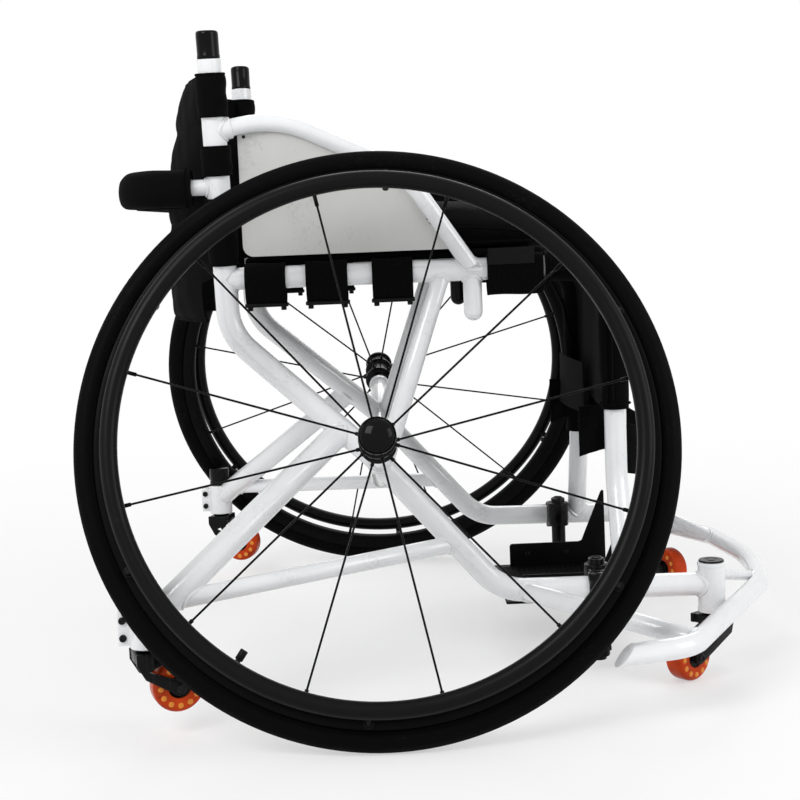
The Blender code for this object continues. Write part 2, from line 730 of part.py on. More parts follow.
def build_guard(name, side, root, paint, panel):
    path = guard_path(side)
    start = path[0]
    direction = (path[1] - start).normalized()
    socket = cylinder(start, start + direction * GUARD_SOCKET_LENGTH, GUARD_SOCKET_RADIUS)
    main = tube_cutter(main_path(side), MAIN_TUBE_RADIUS)
    rail = tube_cutter(rail_path(side), SEAT_RAIL_RADIUS)
    tube = swept(path, GUARD_TUBE_RADIUS, sides=SOFT_SIDES)
    make_part(f"{name}_guard_tube", tube, paint, root, add=[socket], cut=[main, rail])
    # The panel's upper edge runs just under the tube, from its rear edge down to its foot.
    drop = GUARD_TUBE_RADIUS + GAP
    under = []
    for before, point, after in zip([path[0], *path], path, [*path[1:], path[-1]]):
        tangent = (after - before).normalized()
        below = Vector((tangent.z, 0, -tangent.x))
        under.append(point + below * drop)
    rear_top = point_where(under, 0, GUARD_REAR_X)
    front_low = point_where(under[len(under) // 2 :], 2, GUARD_BOTTOM_HEIGHT)
    edge = path_between(under, rear_top, front_low)
    corner = (GUARD_REAR_X + GUARD_CORNER_RADIUS, GUARD_BOTTOM_HEIGHT + GUARD_CORNER_RADIUS)
    curve = arc_points(corner, GUARD_CORNER_RADIUS, math.radians(-90), math.radians(-180), 4)
    outline = [Vector((point.x, side * GUARD_Y, point.z)) for point in edge]
    outline += [Vector((x, side * GUARD_Y, z)) for x, z in curve]
    make_part(f"{name}_side_guard", plate(outline, Vector((0, 1, 0)), GUARD_THICKNESS), panel, root)


def build_post_cap(name, side, root, black):
    path = main_path(side)
    up = (path[0] - path[1]).normalized()
    height = POST_CAP_HEIGHT
    bevel = POST_CAP_BEVEL
    radius = POST_CAP_RADIUS
    profile = ((0, GAP), (radius, GAP), (radius, height - bevel), (radius - bevel, height), (0, height))
    cap = make_part(f"{name}_post_cap", turned(profile, TUBE_SIDES), black, root)
    cap.location = path[0]
    cap.rotation_euler = up.to_track_quat("Z", "Y").to_euler()


def build_bow(root, paint, fabric):
    path = bow_path()
    cutters = [tube_cutter(main_path(side), MAIN_TUBE_RADIUS) for side in (-1, 1)]
    make_part("back_bow", swept(path, BOW_RADIUS, sides=SOFT_SIDES), paint, root, cut=cutters)
    middle = len(path) // 2
    first = point_where(path[:middle], 0, BOW_PAD_START_X)
    last = point_where(path[middle:], 0, BOW_PAD_START_X)
    covered = path_between(path, first, last)
    bore = tube_cutter(path, BOW_RADIUS, sides=SOFT_SIDES)
    pad = swept(covered, BOW_PAD_HALF_HEIGHT, BOW_PAD_HALF_DEPTH, SOFT_SIDES)
    make_part("bow_padding", pad, fabric, root, cut=[bore])


def build_back_sling(root, fabric):
    """The back's fabric: a sagging panel whose ends are sleeves round the two posts."""
    heights = [SLING_FLAP_BOTTOM, SLING_BOTTOM - SLING_FLAP_GAP]
    rows_above = SLING_ROWS
    for step in range(rows_above + 1):
        heights.append(SLING_BOTTOM + (SLING_TOP - SLING_BOTTOM) * step / rows_above)
    columns = SLING_COLUMNS
    rows = []
    for height in heights:
        half = post_at(height).y if height >= SLING_BOTTOM else SLING_FLAP_HALF_WIDTH
        row = []
        for step in range(columns + 1):
            y = half * (2 * step / columns - 1)
            row.append(Vector((sling_x(y, height), y, height)))
        rows.append(row)
    panel = sheet(rows, SLING_THICKNESS, Vector((-1, 0, 0)))
    socket_reach = GUARD_SOCKET_RADIUS + SLEEVE_WINDOW_MARGIN
    bow_reach = BOW_RADIUS + SLEEVE_WINDOW_MARGIN
    spans = (
        (SEAT_RAIL_HEIGHT + SEAT_RAIL_RADIUS + SLEEVE_WINDOW_MARGIN, BOW_HEIGHT - bow_reach),
        (BOW_HEIGHT + bow_reach, GUARD_START_HEIGHT - socket_reach),
        (GUARD_START_HEIGHT + socket_reach, SLING_TOP),
    )
    sleeves = []
    cutters = []
    for side in (-1, 1):
        main = main_path(side)
        for low, high in spans:
            foot = point_where(main, 2, low)
            head = point_where(main, 2, high)
            sleeves.append(cylinder(foot, head, SLING_SLEEVE_RADIUS, SOFT_SIDES))
        cutters.append(tube_cutter(main, MAIN_TUBE_RADIUS))
    cutters.append(tube_cutter(bow_path(), BOW_RADIUS, sides=SOFT_SIDES))
    for side in (-1, 1):
        cutters.append(tube_cutter(rail_path(side), SEAT_RAIL_RADIUS))
    make_part("back_sling", panel, fabric, root, add=sleeves, cut=cutters)


def build_seat(root, fabric, cushion_cloth):
    """The seat pan rests on the rails, and four webbing straps hold it round them."""
    pan_bottom = SEAT_RAIL_HEIGHT + SEAT_RAIL_RADIUS + GAP
    pan_top = pan_bottom + SEAT_PAN_THICKNESS
    low = Vector((SEAT_PAN_REAR_X, -SEAT_PAN_HALF_WIDTH, pan_bottom))
    high = Vector((SEAT_PAN_FRONT_X, SEAT_PAN_HALF_WIDTH, pan_top))
    loops = []
    cutters = []
    for side in (-1, 1):
        rail = rail_path(side)
        for x, width in STRAP_PLACES:
            rear = point_where(rail, 0, x - width / 2)
            front = point_where(rail, 0, x + width / 2)
            reach = SEAT_RAIL_RADIUS + GAP + STRAP_THICKNESS
            hang = Vector((0, 0, -STRAP_HANG))
            loops.append(swept([rear + hang, front + hang], reach + STRAP_HANG, reach, SOFT_SIDES))
        cutters.append(tube_cutter(rail, SEAT_RAIL_RADIUS))
    make_part("seat_sling", box(low, high), fabric, root, add=loops, cut=cutters)
    build_cushion(pan_top + GAP, root, cushion_cloth)


def build_cushion(bottom, root, cloth):
    """A crowned cushion with rounded corners, drawn-in sides and a front that slopes down."""
    middle_x = (CUSHION_FRONT_X + CUSHION_REAR_X) / 2
    half_length = (CUSHION_FRONT_X - CUSHION_REAR_X) / 2
    cells = CUSHION_CELLS
    bm = bmesh.new()
    layers = []
    for layer in (0, 1):
        rows = []
        for row in range(cells + 1):
            u = math.sin(math.pi / 2 * (2 * row / cells - 1))
            line = []
            for column in range(cells + 1):
                v = math.sin(math.pi / 2 * (2 * column / cells - 1))
                round_u = u * math.sqrt(1 - v**8 / 6)
                round_v = v * math.sqrt(1 - u**8 / 6)
                crown = CUSHION_CROWN * (1 - u**6) * (1 - v**6)
                slope = CUSHION_FRONT_DROP * max(0.0, u) ** 3
                inset = 1 if layer else CUSHION_SIDE_DRAW
                height = bottom + layer * (CUSHION_EDGE_THICKNESS + crown - slope)
                x = middle_x + half_length * round_u * inset
                line.append(bm.verts.new((x, CUSHION_HALF_WIDTH * round_v * inset, height)))
            rows.append(line)
        layers.append(rows)
    for rows in layers:
        for row in range(cells):
            for column in range(cells):
                one, two = rows[row], rows[row + 1]
                bm.faces.new((one[column], one[column + 1], two[column + 1], two[column]))
    rims = []
    for rows in layers:
        rim = list(rows[0]) + [row[-1] for row in rows[1:]]
        rim += list(reversed(rows[-1][:-1])) + [row[0] for row in reversed(rows[1:-1])]
        rims.append(rim)
    for index in range(len(rims[0])):
        after = (index + 1) % len(rims[0])
        bm.faces.new((rims[0][index], rims[0][after], rims[1][after], rims[1][index]))
    make_part("seat_cushion", bm, cloth, root)


def build_knee_sleeve(name, side, root, fabric):
    rail = rail_path(side)
    start = point_where(rail, 0, KNEE_SLEEVE_START_X)
    end = point_where(rail[2:], 2, KNEE_SLEEVE_END_HEIGHT)
    covered = path_between(rail, start, end)
    bore = tube_cutter(rail, SEAT_RAIL_RADIUS)
    shape = swept(covered, KNEE_SLEEVE_RADIUS, sides=SOFT_SIDES)
    make_part(f"{name}_knee_sleeve", shape, fabric, root, cut=[bore])


def build_leg_strap(root, fabric):
    """A webbing strap between the front posts, bowed forwards and down round the shins."""
    post = point_where(rail_path(1)[3:], 2, (LEG_STRAP_BOTTOM + LEG_STRAP_TOP) / 2)
    rows = []
    for height in (LEG_STRAP_BOTTOM, LEG_STRAP_TOP):
        row = []
        for step in range(LEG_STRAP_COLUMNS + 1):
            angle = math.pi * step / LEG_STRAP_COLUMNS
            bow = math.sin(angle)
            x = post.x + LEG_STRAP_BULGE * bow
            row.append(Vector((x, -post.y * math.cos(angle), height - LEG_STRAP_DROOP * bow)))
        rows.append(row)
    band = sheet(rows, LEG_STRAP_THICKNESS, Vector((-1, 0, 0)))
    cutters = [tube_cutter(rail_path(side), SEAT_RAIL_RADIUS) for side in (-1, 1)]
    make_part("leg_strap", band, fabric, root, cut=cutters)


def build_footrest_clamp(name, side, root, black):
    """A clamp round the caster arm, with an upright socket for the footrest's stem."""
    main = main_path(side)[-6:]
    arm_rear = point_where(main, 0, CLAMP_X - CLAMP_LENGTH / 2)
    arm_front = point_where(main, 0, CLAMP_X + CLAMP_LENGTH / 2)
    arm = arm_rear.lerp(arm_front, 0.5)
    stem_y = side * foot_stem_y()
    ring = cylinder(arm_rear, arm_front, MAIN_TUBE_RADIUS + CLAMP_WALL)
    post_radius = FOOT_STEM_RADIUS + CLAMP_WALL
    bottom = Vector((CLAMP_X, stem_y, CLAMP_BOTTOM))
    post = cylinder(bottom, Vector((CLAMP_X, stem_y, CLAMP_TOP)), post_radius)
    inner, outer = sorted((stem_y, arm.y))
    inset = CLAMP_BRIDGE_INSET
    half = CLAMP_LENGTH / 2 - inset
    bridge = box(
        Vector((CLAMP_X - half, inner, CLAMP_BOTTOM + inset)),
        Vector((CLAMP_X + half, outer, CLAMP_TOP - inset)),
    )
    arm_bore = tube_cutter(main_path(side), MAIN_TUBE_RADIUS)
    stem_room = FOOT_STEM_RADIUS + GAP
    stem_bore = stem_cutter(CLAMP_X, stem_y, stem_room, CLAMP_BOTTOM - GAP, CLAMP_TOP + GAP)
    cutters = [arm_bore, stem_bore]
    make_part(f"{name}_footrest_clamp", ring, black, root, add=[post, bridge], cut=cutters)


def foot_stem_y():
    arm = point_where(main_path(1)[-6:], 0, CLAMP_X)
    return arm.y - MAIN_TUBE_RADIUS - FOOT_STEM_SIDE_GAP - FOOT_STEM_RADIUS


def build_footrest(root, black):
    """Two stems and a crossbar carry the tray, which slides up and down in the clamps."""
    axis = make_empty("footrest_slide", (CLAMP_X, 0, 0), parent=root)
    y = foot_stem_y()
    bar_top = TRAY_TOP - TRAY_THICKNESS - GAP
    bar = box(
        Vector((-CROSSBAR_WIDTH / 2, -y, bar_top - CROSSBAR_THICKNESS)),
        Vector((CROSSBAR_WIDTH / 2, y, bar_top)),
    )
    extras = []
    for side in (-1, 1):
        for low, high, radius in (
            (FOOT_STEM_BOTTOM, FOOT_STEM_TOP, FOOT_STEM_RADIUS),
            (FOOT_COLLAR_BOTTOM, FOOT_COLLAR_TOP, FOOT_COLLAR_RADIUS),
        ):
            extras.append(cylinder(at(side, 0, y, low), at(side, 0, y, high), radius))
    make_part("footrest_frame", bar, black, axis, add=extras)
    rear = TRAY_REAR_X - CLAMP_X
    front = TRAY_FRONT_X - CLAMP_X
    floor = box(
        Vector((rear, -TRAY_HALF_WIDTH, TRAY_TOP - TRAY_THICKNESS)),
        Vector((front, TRAY_HALF_WIDTH, TRAY_TOP)),
    )
    walls = []
    for side in (-1, 1):
        outline = (
            at(side, TRAY_WALL_REAR_X - CLAMP_X, TRAY_WALL_Y, TRAY_TOP - TRAY_THICKNESS / 2),
            at(side, TRAY_WALL_REAR_X - CLAMP_X, TRAY_WALL_Y, TRAY_WALL_TOP),
            at(side, TRAY_FIN_REAR_X - CLAMP_X, TRAY_WALL_Y, TRAY_WALL_TOP),
            at(side, front - TRAY_FIN_INSET, TRAY_WALL_Y, TRAY_FIN_TOP),
            at(side, front - TRAY_WALL_INSET, TRAY_WALL_Y, TRAY_TOP - TRAY_THICKNESS / 2),
        )
        walls.append(plate(outline, Vector((0, 1, 0)), TRAY_THICKNESS))
    make_part("footrest_tray", floor, black, axis, add=walls)


# Drive wheels, each built round its own axle, with Z pointing out of the chair
def build_drive_wheel(name, side, root, looks):
    quarter_turn = math.pi / 2
    lean = -side * (quarter_turn - CAMBER)
    axis = make_empty(f"{name}_wheel_axis", at(side, 0, WHEEL_CENTRE_Y, AXLE_HEIGHT), (lean, 0, 0), root)
    centre_radius = TYRE_RADIUS - TYRE_SECTION_RADIUS
    # One corner of the tyre's section points straight down where the wheel stands on the floor.
    step = math.tau / TYRE_SIDES
    last = math.tau - step - CAMBER
    section = arc_points((centre_radius, 0), TYRE_SECTION_RADIUS, -CAMBER, last, TYRE_SIDES - 1)
    make_part(f"{name}_tyre", turned(section, WHEEL_SEGMENTS, closed=True), looks["rubber"], axis)
    build_rim(name, axis, centre_radius, looks["black_metal"])
    build_hub(name, axis, looks["black_metal"])
    build_handrim(name, axis, looks["handrim"])
    build_axle(name, axis, looks["gloss_black"])


def build_rim(name, axis, centre_radius, material):
    bed_half_angle = RIM_BED_HALF_ANGLE
    seat_radius = (TYRE_SECTION_RADIUS + GAP) / math.cos(bed_half_angle / BED_STEPS)
    first = math.pi - bed_half_angle
    bed = arc_points((centre_radius, 0), seat_radius, first, math.pi + bed_half_angle, BED_STEPS)
    edge_radius = bed[0][0]
    shoulder = RIM_INNER_RADIUS + RIM_SHOULDER
    profile = [
        *bed,
        (edge_radius, -RIM_HALF_WIDTH),
        (shoulder, -RIM_HALF_WIDTH),
        (RIM_INNER_RADIUS, -RIM_CREST_HALF_WIDTH),
        (RIM_INNER_RADIUS, RIM_CREST_HALF_WIDTH),
        (shoulder, RIM_HALF_WIDTH),
        (edge_radius, RIM_HALF_WIDTH),
    ]
    outward = Vector((math.cos(VALVE_ANGLE), math.sin(VALVE_ANGLE), 0))
    valve = cylinder(
        outward * (RIM_INNER_RADIUS + RIM_SHOULDER),
        outward * (RIM_INNER_RADIUS - VALVE_LENGTH),
        VALVE_RADIUS,
        SMALL_SIDES,
    )
    make_part(f"{name}_rim", turned(profile, WHEEL_SEGMENTS, closed=True), material, axis, add=[valve])


def build_hub(name, axis, material):
    bore = (AXLE_RADIUS + GAP) / math.cos(math.pi / HUB_SEGMENTS)
    half = HUB_FLANGE_WIDTH / 2
    profile = [(bore, HUB_INNER_FACE), (HUB_BARREL_RADIUS - HUB_END_STEP, HUB_INNER_FACE)]
    for flange in HUB_FLANGES:
        profile += [(HUB_BARREL_RADIUS, flange - half), (HUB_FLANGE_RADIUS, flange - half / 2)]
        profile += [(HUB_FLANGE_RADIUS, flange + half / 2), (HUB_BARREL_RADIUS, flange + half)]
    profile += [(HUB_BARREL_RADIUS, HUB_OUTER_FACE), (bore, HUB_OUTER_FACE)]
    spokes = []
    # The rim's flats lie inside its corners, and a nipple's edge is nearer to them than its middle.
    flat = math.pi / WHEEL_SEGMENTS
    spoke_end = RIM_INNER_RADIUS * math.cos(flat) - GAP - NIPPLE_RADIUS * math.tan(flat)
    for index in range(SPOKE_COUNT):
        angle = SPOKE_FIRST_ANGLE + math.tau * index / SPOKE_COUNT
        outward = Vector((math.cos(angle), math.sin(angle), 0))
        start = outward * (HUB_FLANGE_RADIUS - SPOKE_ROOT_DEPTH) + Vector((0, 0, HUB_FLANGES[index % 2]))
        end = outward * spoke_end
        along = end - start
        length = along.length
        rod = turned(
            (
                (0, 0),
                (SPOKE_RADIUS, 0),
                (SPOKE_RADIUS, length - NIPPLE_LENGTH),
                (NIPPLE_RADIUS, length - NIPPLE_LENGTH),
                (NIPPLE_RADIUS, length),
                (0, length),
            ),
            ROD_SIDES,
        )
        turn = along.to_track_quat("Z", "Y").to_matrix().to_4x4()
        bmesh.ops.transform(rod, matrix=Matrix.Translation(start) @ turn, verts=rod.verts)
        spokes.append(rod)
    hub = turned(profile, HUB_SEGMENTS, closed=True)
    make_part(f"{name}_hub_and_spokes", hub, material, axis, add=spokes)


def build_handrim(name, axis, material):
    centre = (HANDRIM_RADIUS, HANDRIM_OFFSET)
    last_angle = math.tau * (1 - 1 / HANDRIM_SIDES)
    section = arc_points(centre, HANDRIM_TUBE_RADIUS, 0, last_angle, HANDRIM_SIDES - 1)
    foot_radius = RIM_INNER_RADIUS + RIM_SHOULDER + TAB_RADIUS + GAP
    tabs = []
    for index in range(TAB_COUNT):
        angle = TAB_FIRST_ANGLE + math.tau * index / TAB_COUNT
        outward = Vector((math.cos(angle), math.sin(angle), 0))
        foot = outward * foot_radius + Vector((0, 0, RIM_HALF_WIDTH + GAP))
        knee = foot + Vector((0, 0, HANDRIM_TUBE_RADIUS))
        head = outward * HANDRIM_RADIUS + Vector((0, 0, HANDRIM_OFFSET))
        tabs.append(swept([foot, knee, head], TAB_RADIUS, sides=TAB_SIDES))
    make_part(f"{name}_handrim", turned(section, WHEEL_SEGMENTS, closed=True), material, axis, add=tabs)


def build_axle(name, axis, material):
    """The quick-release axle: a pin in the frame's socket, a spacer and a domed head outside."""
    inner_end = AXLE_TUBE_FACE - AXLE_SOCKET_DEPTH + GAP
    cap = HUB_OUTER_FACE + GAP
    radius = AXLE_CAP_RADIUS
    profile = [
        (0, inner_end),
        (AXLE_RADIUS, inner_end),
        (AXLE_RADIUS, AXLE_TUBE_FACE + GAP),
        (AXLE_SPACER_RADIUS, AXLE_TUBE_FACE + GAP),
        (AXLE_SPACER_RADIUS, HUB_INNER_FACE - GAP),
        (AXLE_RADIUS, HUB_INNER_FACE - GAP),
        (AXLE_RADIUS, cap),
        (radius, cap),
    ]
    edge = cap + AXLE_CAP_EDGE
    rise = AXLE_CAP_HEIGHT - AXLE_CAP_EDGE
    for step in range(AXLE_DOME_STEPS):
        angle = math.pi / 2 * step / AXLE_DOME_STEPS
        profile.append((radius * math.cos(angle), edge + rise * math.sin(angle)))
    profile.append((0, edge + rise))
    make_part(f"{name}_axle", turned(profile, HUB_SEGMENTS), material, axis)


# Casters, each fork built round its stem, with the wheel trailing along the fork's X
def fork_profile(sizes):
    """Side outline of one fork arm: the crown's side, then a straight arm to the hub and back."""
    reach = sizes["reach"]
    top = sizes["crown_top"]
    bottom = top - sizes["crown_thickness"]
    hub = Vector((sizes["trail"], sizes["wheel_height"]))
    half = sizes["arm_width"] / 2
    shoulder = Vector((half - sizes["arm_back"], bottom - sizes["arm_drop"]))
    along = (hub - shoulder).normalized()
    across = Vector((-along.y, along.x))
    upper = shoulder + across * half
    lower = shoulder - across * half
    slope = math.atan2(along.y, along.x)
    quarter = math.pi / 2
    boss = arc_points(hub, FORK_BOSS_RADIUS, slope + quarter, slope - quarter, FORK_BOSS_STEPS)
    crown = [(-reach, top), (reach, top), (reach, bottom)]
    return [*crown, tuple(upper), *boss, tuple(lower), (-reach, bottom)]


def build_caster(name, stem, yaw, sizes, root, looks, extras=()):
    swivel = make_empty(f"{name}_swivel", (stem.x, stem.y, 0), (0, 0, yaw), root)
    trail = sizes["trail"]
    wheel_height = sizes["wheel_height"]
    crown_top = sizes["crown_top"]
    crown_bottom = crown_top - sizes["crown_thickness"]
    reach = sizes["reach"]
    inner = CASTER_WIDTH / 2 + FORK_SIDE_GAP
    outer = inner + FORK_ARM_THICKNESS
    profile = fork_profile(sizes)
    arms = []
    for side in (-1, 1):
        middle = side * (inner + outer) / 2
        outline = [Vector((x, middle, z)) for x, z in profile]
        arms.append(plate(outline, Vector((0, 1, 0)), FORK_ARM_THICKNESS))
    overlap = FORK_ARM_THICKNESS / 2
    inset = FORK_CROWN_INSET
    crown = box(
        Vector((-reach + inset, -outer + overlap, crown_bottom + inset)),
        Vector((reach - inset, outer - overlap, crown_top - inset)),
    )
    stem_foot = Vector((0, 0, (crown_top + crown_bottom) / 2))
    post = cylinder(stem_foot, Vector((0, 0, sizes["stem_top"])), sizes["stem_radius"])
    bolt = cylinder(
        Vector((trail, -outer - FORK_BOLT_HEAD, wheel_height)),
        Vector((trail, outer + FORK_BOLT_HEAD, wheel_height)),
        CASTER_BOLT_RADIUS,
        SMALL_SIDES,
    )
    make_part(f"{name}_fork", crown, looks["gloss_black"], swivel, add=[*arms, post, bolt, *extras])
    spin = make_empty(f"{name}_spin", (trail, 0, wheel_height), (math.pi / 2, 0, 0), swivel)
    half = CASTER_WIDTH / 2
    bore = (CASTER_BOLT_RADIUS + GAP) / math.cos(math.pi / CORE_SEGMENTS)
    core_radius = CASTER_CORE_RADIUS
    face_radius = core_radius * CORE_FACE_SHARE
    face = half + FORK_SIDE_GAP - GAP
    core = [
        (bore, -face),
        (face_radius, -face),
        (core_radius, -half),
        (core_radius, half),
        (face_radius, face),
        (bore, face),
    ]
    # The bottom of the tread is a corner of the turned shape, so the wheel stands exactly at its radius.
    down = -math.pi / 2
    make_part(f"{name}_core", turned(core, CORE_SEGMENTS, True), looks["gloss_black"], spin)
    seat = (core_radius + GAP) / math.cos(math.pi / CASTER_SEGMENTS)
    round_edge = half * CASTER_EDGE_SHARE
    tread = [
        (seat, -half + GAP),
        (CASTER_RADIUS - round_edge, -half + GAP),
        (CASTER_RADIUS, -half + round_edge),
        (CASTER_RADIUS, half - round_edge),
        (CASTER_RADIUS - round_edge, half - GAP),
        (seat, half - GAP),
    ]
    make_part(f"{name}_tyre", turned(tread, CASTER_SEGMENTS, True, down), looks["orange"], spin)


def build_front_caster(name, side, yaw, root, looks):
    stem = Vector((STEM_X, side * STEM_Y, 0))
    cap_gap = HOUSING_TOP + GAP
    sizes = {
        "trail": FRONT_TRAIL,
        "wheel_height": CASTER_RADIUS,
        "crown_top": FRONT_CROWN_TOP,
        "crown_thickness": FRONT_CROWN_THICKNESS,
        "reach": FRONT_CROWN_REACH,
        "arm_width": FRONT_ARM_WIDTH,
        "arm_back": FRONT_CROWN_REACH,
        "arm_drop": FRONT_ARM_DROP,
        "stem_radius": FRONT_STEM_RADIUS,
        "stem_top": cap_gap + STEM_CAP_HEIGHT / 4,
    }
    # A thrust collar under the housing and a flat cap on top of it, both fast on the stem.
    collar = cylinder(
        Vector((0, 0, FRONT_CROWN_TOP - FRONT_CROWN_THICKNESS / 2)),
        Vector((0, 0, HOUSING_BOTTOM - GAP)),
        FRONT_STEM_RADIUS + THRUST_COLLAR_WIDTH,
    )
    cap_radius = HOUSING_RADIUS - HOUSING_RIM
    bevel = STEM_CAP_HEIGHT / 2
    cap_profile = (
        (0, cap_gap),
        (cap_radius, cap_gap),
        (cap_radius, cap_gap + bevel),
        (cap_radius - bevel, cap_gap + STEM_CAP_HEIGHT),
        (0, cap_gap + STEM_CAP_HEIGHT),
    )
    cap = turned(cap_profile, HUB_SEGMENTS)
    build_caster(f"{name}_front", stem, yaw, sizes, root, looks, extras=[collar, cap])


def build_rear_caster(name, side, yaw, root, looks):
    stem = Vector((REAR_STEM_X, side * REAR_STEM_Y, 0))
    bottom = REAR_CROWN_TOP + GAP
    bore = (REAR_STEM_RADIUS + GAP) / math.cos(math.pi / TUBE_SIDES)
    stem_top = REAR_CLAMP_TOP + REAR_STEM_ABOVE_CLAMP
    cap = REAR_SLEEVE_CAP_RADIUS
    bevel = REAR_SLEEVE_BEVEL
    profile = (
        (0, stem_top + GAP),
        (bore, stem_top + GAP),
        (bore, bottom),
        (REAR_SLEEVE_RADIUS, bottom),
        (REAR_SLEEVE_RADIUS, REAR_CLAMP_TOP + GAP),
        (cap, REAR_CLAMP_TOP + GAP),
        (cap, REAR_SLEEVE_TOP - bevel),
        (cap - bevel, REAR_SLEEVE_TOP),
        (0, REAR_SLEEVE_TOP),
    )
    tube = turned(profile, TUBE_SIDES)
    sleeve = make_part(f"{name}_rear_stem_sleeve", tube, looks["black_metal"], root)
    sleeve.location = stem
    sizes = {
        "trail": REAR_TRAIL,
        "wheel_height": REAR_WHEEL_HEIGHT,
        "crown_top": REAR_CROWN_TOP,
        "crown_thickness": REAR_CROWN_THICKNESS,
        "reach": REAR_CROWN_REACH,
        "arm_width": REAR_ARM_WIDTH,
        "arm_back": REAR_ARM_WIDTH,
        "arm_drop": REAR_ARM_DROP,
        "stem_radius": REAR_STEM_RADIUS,
        "stem_top": stem_top,
    }
    build_caster(f"{name}_rear", stem, yaw, sizes, root, looks)


# Places that follow from the sizes
AXLE_HEIGHT = (TYRE_RADIUS - TYRE_SECTION_RADIUS) * math.cos(CAMBER) + TYRE_SECTION_RADIUS
AXLE_TUBE_FACE = HUB_INNER_FACE - AXLE_SPACER_LENGTH - GAP
RIM_INNER_RADIUS = TYRE_RADIUS - TYRE_SECTION_RADIUS - RIM_DEPTH
BUMPER_REAR_X = STEM_X - BUMPER_REAR_SETBACK
BUMPER_SIDE_X = STEM_X - BUMPER_SIDE_SETBACK
BUMPER_CORNER_X = STEM_X + BUMPER_CORNER_REACH
BUMPER_NOSE_X = STEM_X + BUMPER_NOSE_REACH
SLING_TOP = POST_TOP_HEIGHT - SLING_TOP_DROP
GUARD_LANDING_HEIGHT = SEAT_RAIL_HEIGHT + SEAT_RAIL_RADIUS - GUARD_LANDING_DEPTH


def main():
    clear_scene()
    looks = {
        "white": make_material("white_paint", (0.86, 0.87, 0.88), 0.25),
        "rubber": make_material("black_rubber", (0.012, 0.012, 0.013), 0.6),
        "black_metal": make_material("black_anodised", (0.015, 0.015, 0.016), 0.35, 0.6),
        "handrim": make_material("black_handrim", (0.02, 0.02, 0.021), 0.3, 0.2),
        "gloss_black": make_material("gloss_black", (0.01, 0.01, 0.011), 0.18),
        "fabric": make_material("black_fabric", (0.014, 0.014, 0.015), 0.85),
        "guard": make_material("grey_panel", (0.55, 0.55, 0.54), 0.45),
        "orange": make_material("orange_urethane", (0.75, 0.10, 0.01), 0.25),
    }
    front_x = max(point.x for point in bumper_path()) + BUMPER_RADIUS
    root = make_empty("wheelchair", ((TYRE_RADIUS - front_x) / 2, 0, 0))
    yaws = {"right": (RIGHT_FRONT_YAW, RIGHT_REAR_YAW), "left": (LEFT_FRONT_YAW, LEFT_REAR_YAW)}
    white = looks["white"]
    for name, side in SIDES:
        build_main_tube(name, side, root, white)
        build_seat_rail(name, side, root, white)
        build_front_stay(name, side, root, white)
        build_rear_stay(name, side, root, white)
        build_brace(name, side, root, white)
        build_wing(name, side, root, white)
        build_caster_housing(name, side, root, white)
        build_guard(name, side, root, white, looks["guard"])
        build_post_cap(name, side, root, looks["gloss_black"])
        build_knee_sleeve(name, side, root, looks["fabric"])
        build_footrest_clamp(name, side, root, looks["gloss_black"])
        build_drive_wheel(name, side, root, looks)
        front_yaw, rear_yaw = yaws[name]
        build_front_caster(name, side, front_yaw, root, looks)
        build_rear_caster(name, side, rear_yaw, root, looks)
    make_part("front_bumper", swept(bumper_path(), BUMPER_RADIUS, end_slant=BUMPER_END_SLANT), white, root)
    build_camber_tube(root, white)
    build_bow(root, white, looks["fabric"])
    build_back_sling(root, looks["fabric"])
    build_seat(root, looks["fabric"], looks["fabric"])
    build_leg_strap(root, looks["fabric"])
    build_footrest(root, looks["gloss_black"])


main()
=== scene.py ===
"""Court wheelchair: the visible pieces, their materials and a plain stage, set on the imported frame."""

import json
import math

import bmesh
import bpy
from mathutils import Matrix, Vector

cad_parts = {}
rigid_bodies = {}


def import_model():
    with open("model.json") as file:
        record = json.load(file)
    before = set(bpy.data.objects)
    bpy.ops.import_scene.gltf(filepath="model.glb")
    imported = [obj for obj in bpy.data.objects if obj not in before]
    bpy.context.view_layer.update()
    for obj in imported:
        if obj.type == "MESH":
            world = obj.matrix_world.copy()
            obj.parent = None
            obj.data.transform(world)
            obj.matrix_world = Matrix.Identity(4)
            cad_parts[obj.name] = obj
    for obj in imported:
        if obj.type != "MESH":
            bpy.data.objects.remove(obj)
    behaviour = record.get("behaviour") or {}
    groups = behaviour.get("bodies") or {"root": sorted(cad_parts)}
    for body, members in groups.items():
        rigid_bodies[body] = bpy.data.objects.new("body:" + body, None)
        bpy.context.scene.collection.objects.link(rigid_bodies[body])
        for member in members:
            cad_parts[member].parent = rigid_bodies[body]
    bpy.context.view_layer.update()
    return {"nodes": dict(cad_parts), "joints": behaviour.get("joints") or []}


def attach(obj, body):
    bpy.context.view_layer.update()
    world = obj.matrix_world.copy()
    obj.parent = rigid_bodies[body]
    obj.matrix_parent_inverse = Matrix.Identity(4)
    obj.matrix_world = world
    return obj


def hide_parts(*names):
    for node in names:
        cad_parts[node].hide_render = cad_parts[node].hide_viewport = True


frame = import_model()

bl_info = {
    "name": "Court wheelchair",
    "version": (1, 0, 0),
    "blender": (4, 5, 0),
    "location": "3D View > Sidebar > Wheelchair",
    "description": "Builds a court wheelchair with cambered wheels on its joint frame",
    "category": "Add Mesh",
}

JOINTS = {joint["child"]: joint for joint in frame["joints"]}
SIDES = (("right", -1), ("left", 1))
AXLE = {side: Vector(JOINTS[f"{name}_wheel"]["pos_m"]) for name, side in SIDES}
AXLE_X = AXLE[1].x
CAMBER = math.asin(Vector(JOINTS["left_wheel"]["axis"]).z)
SMOOTH_ANGLE = math.radians(40)
UP = Vector((0, 0, 1))


def length(name, description, default):
    """A size in metres that a user may change."""
    return bpy.props.FloatProperty(name=name, description=description, default=default, unit="LENGTH")


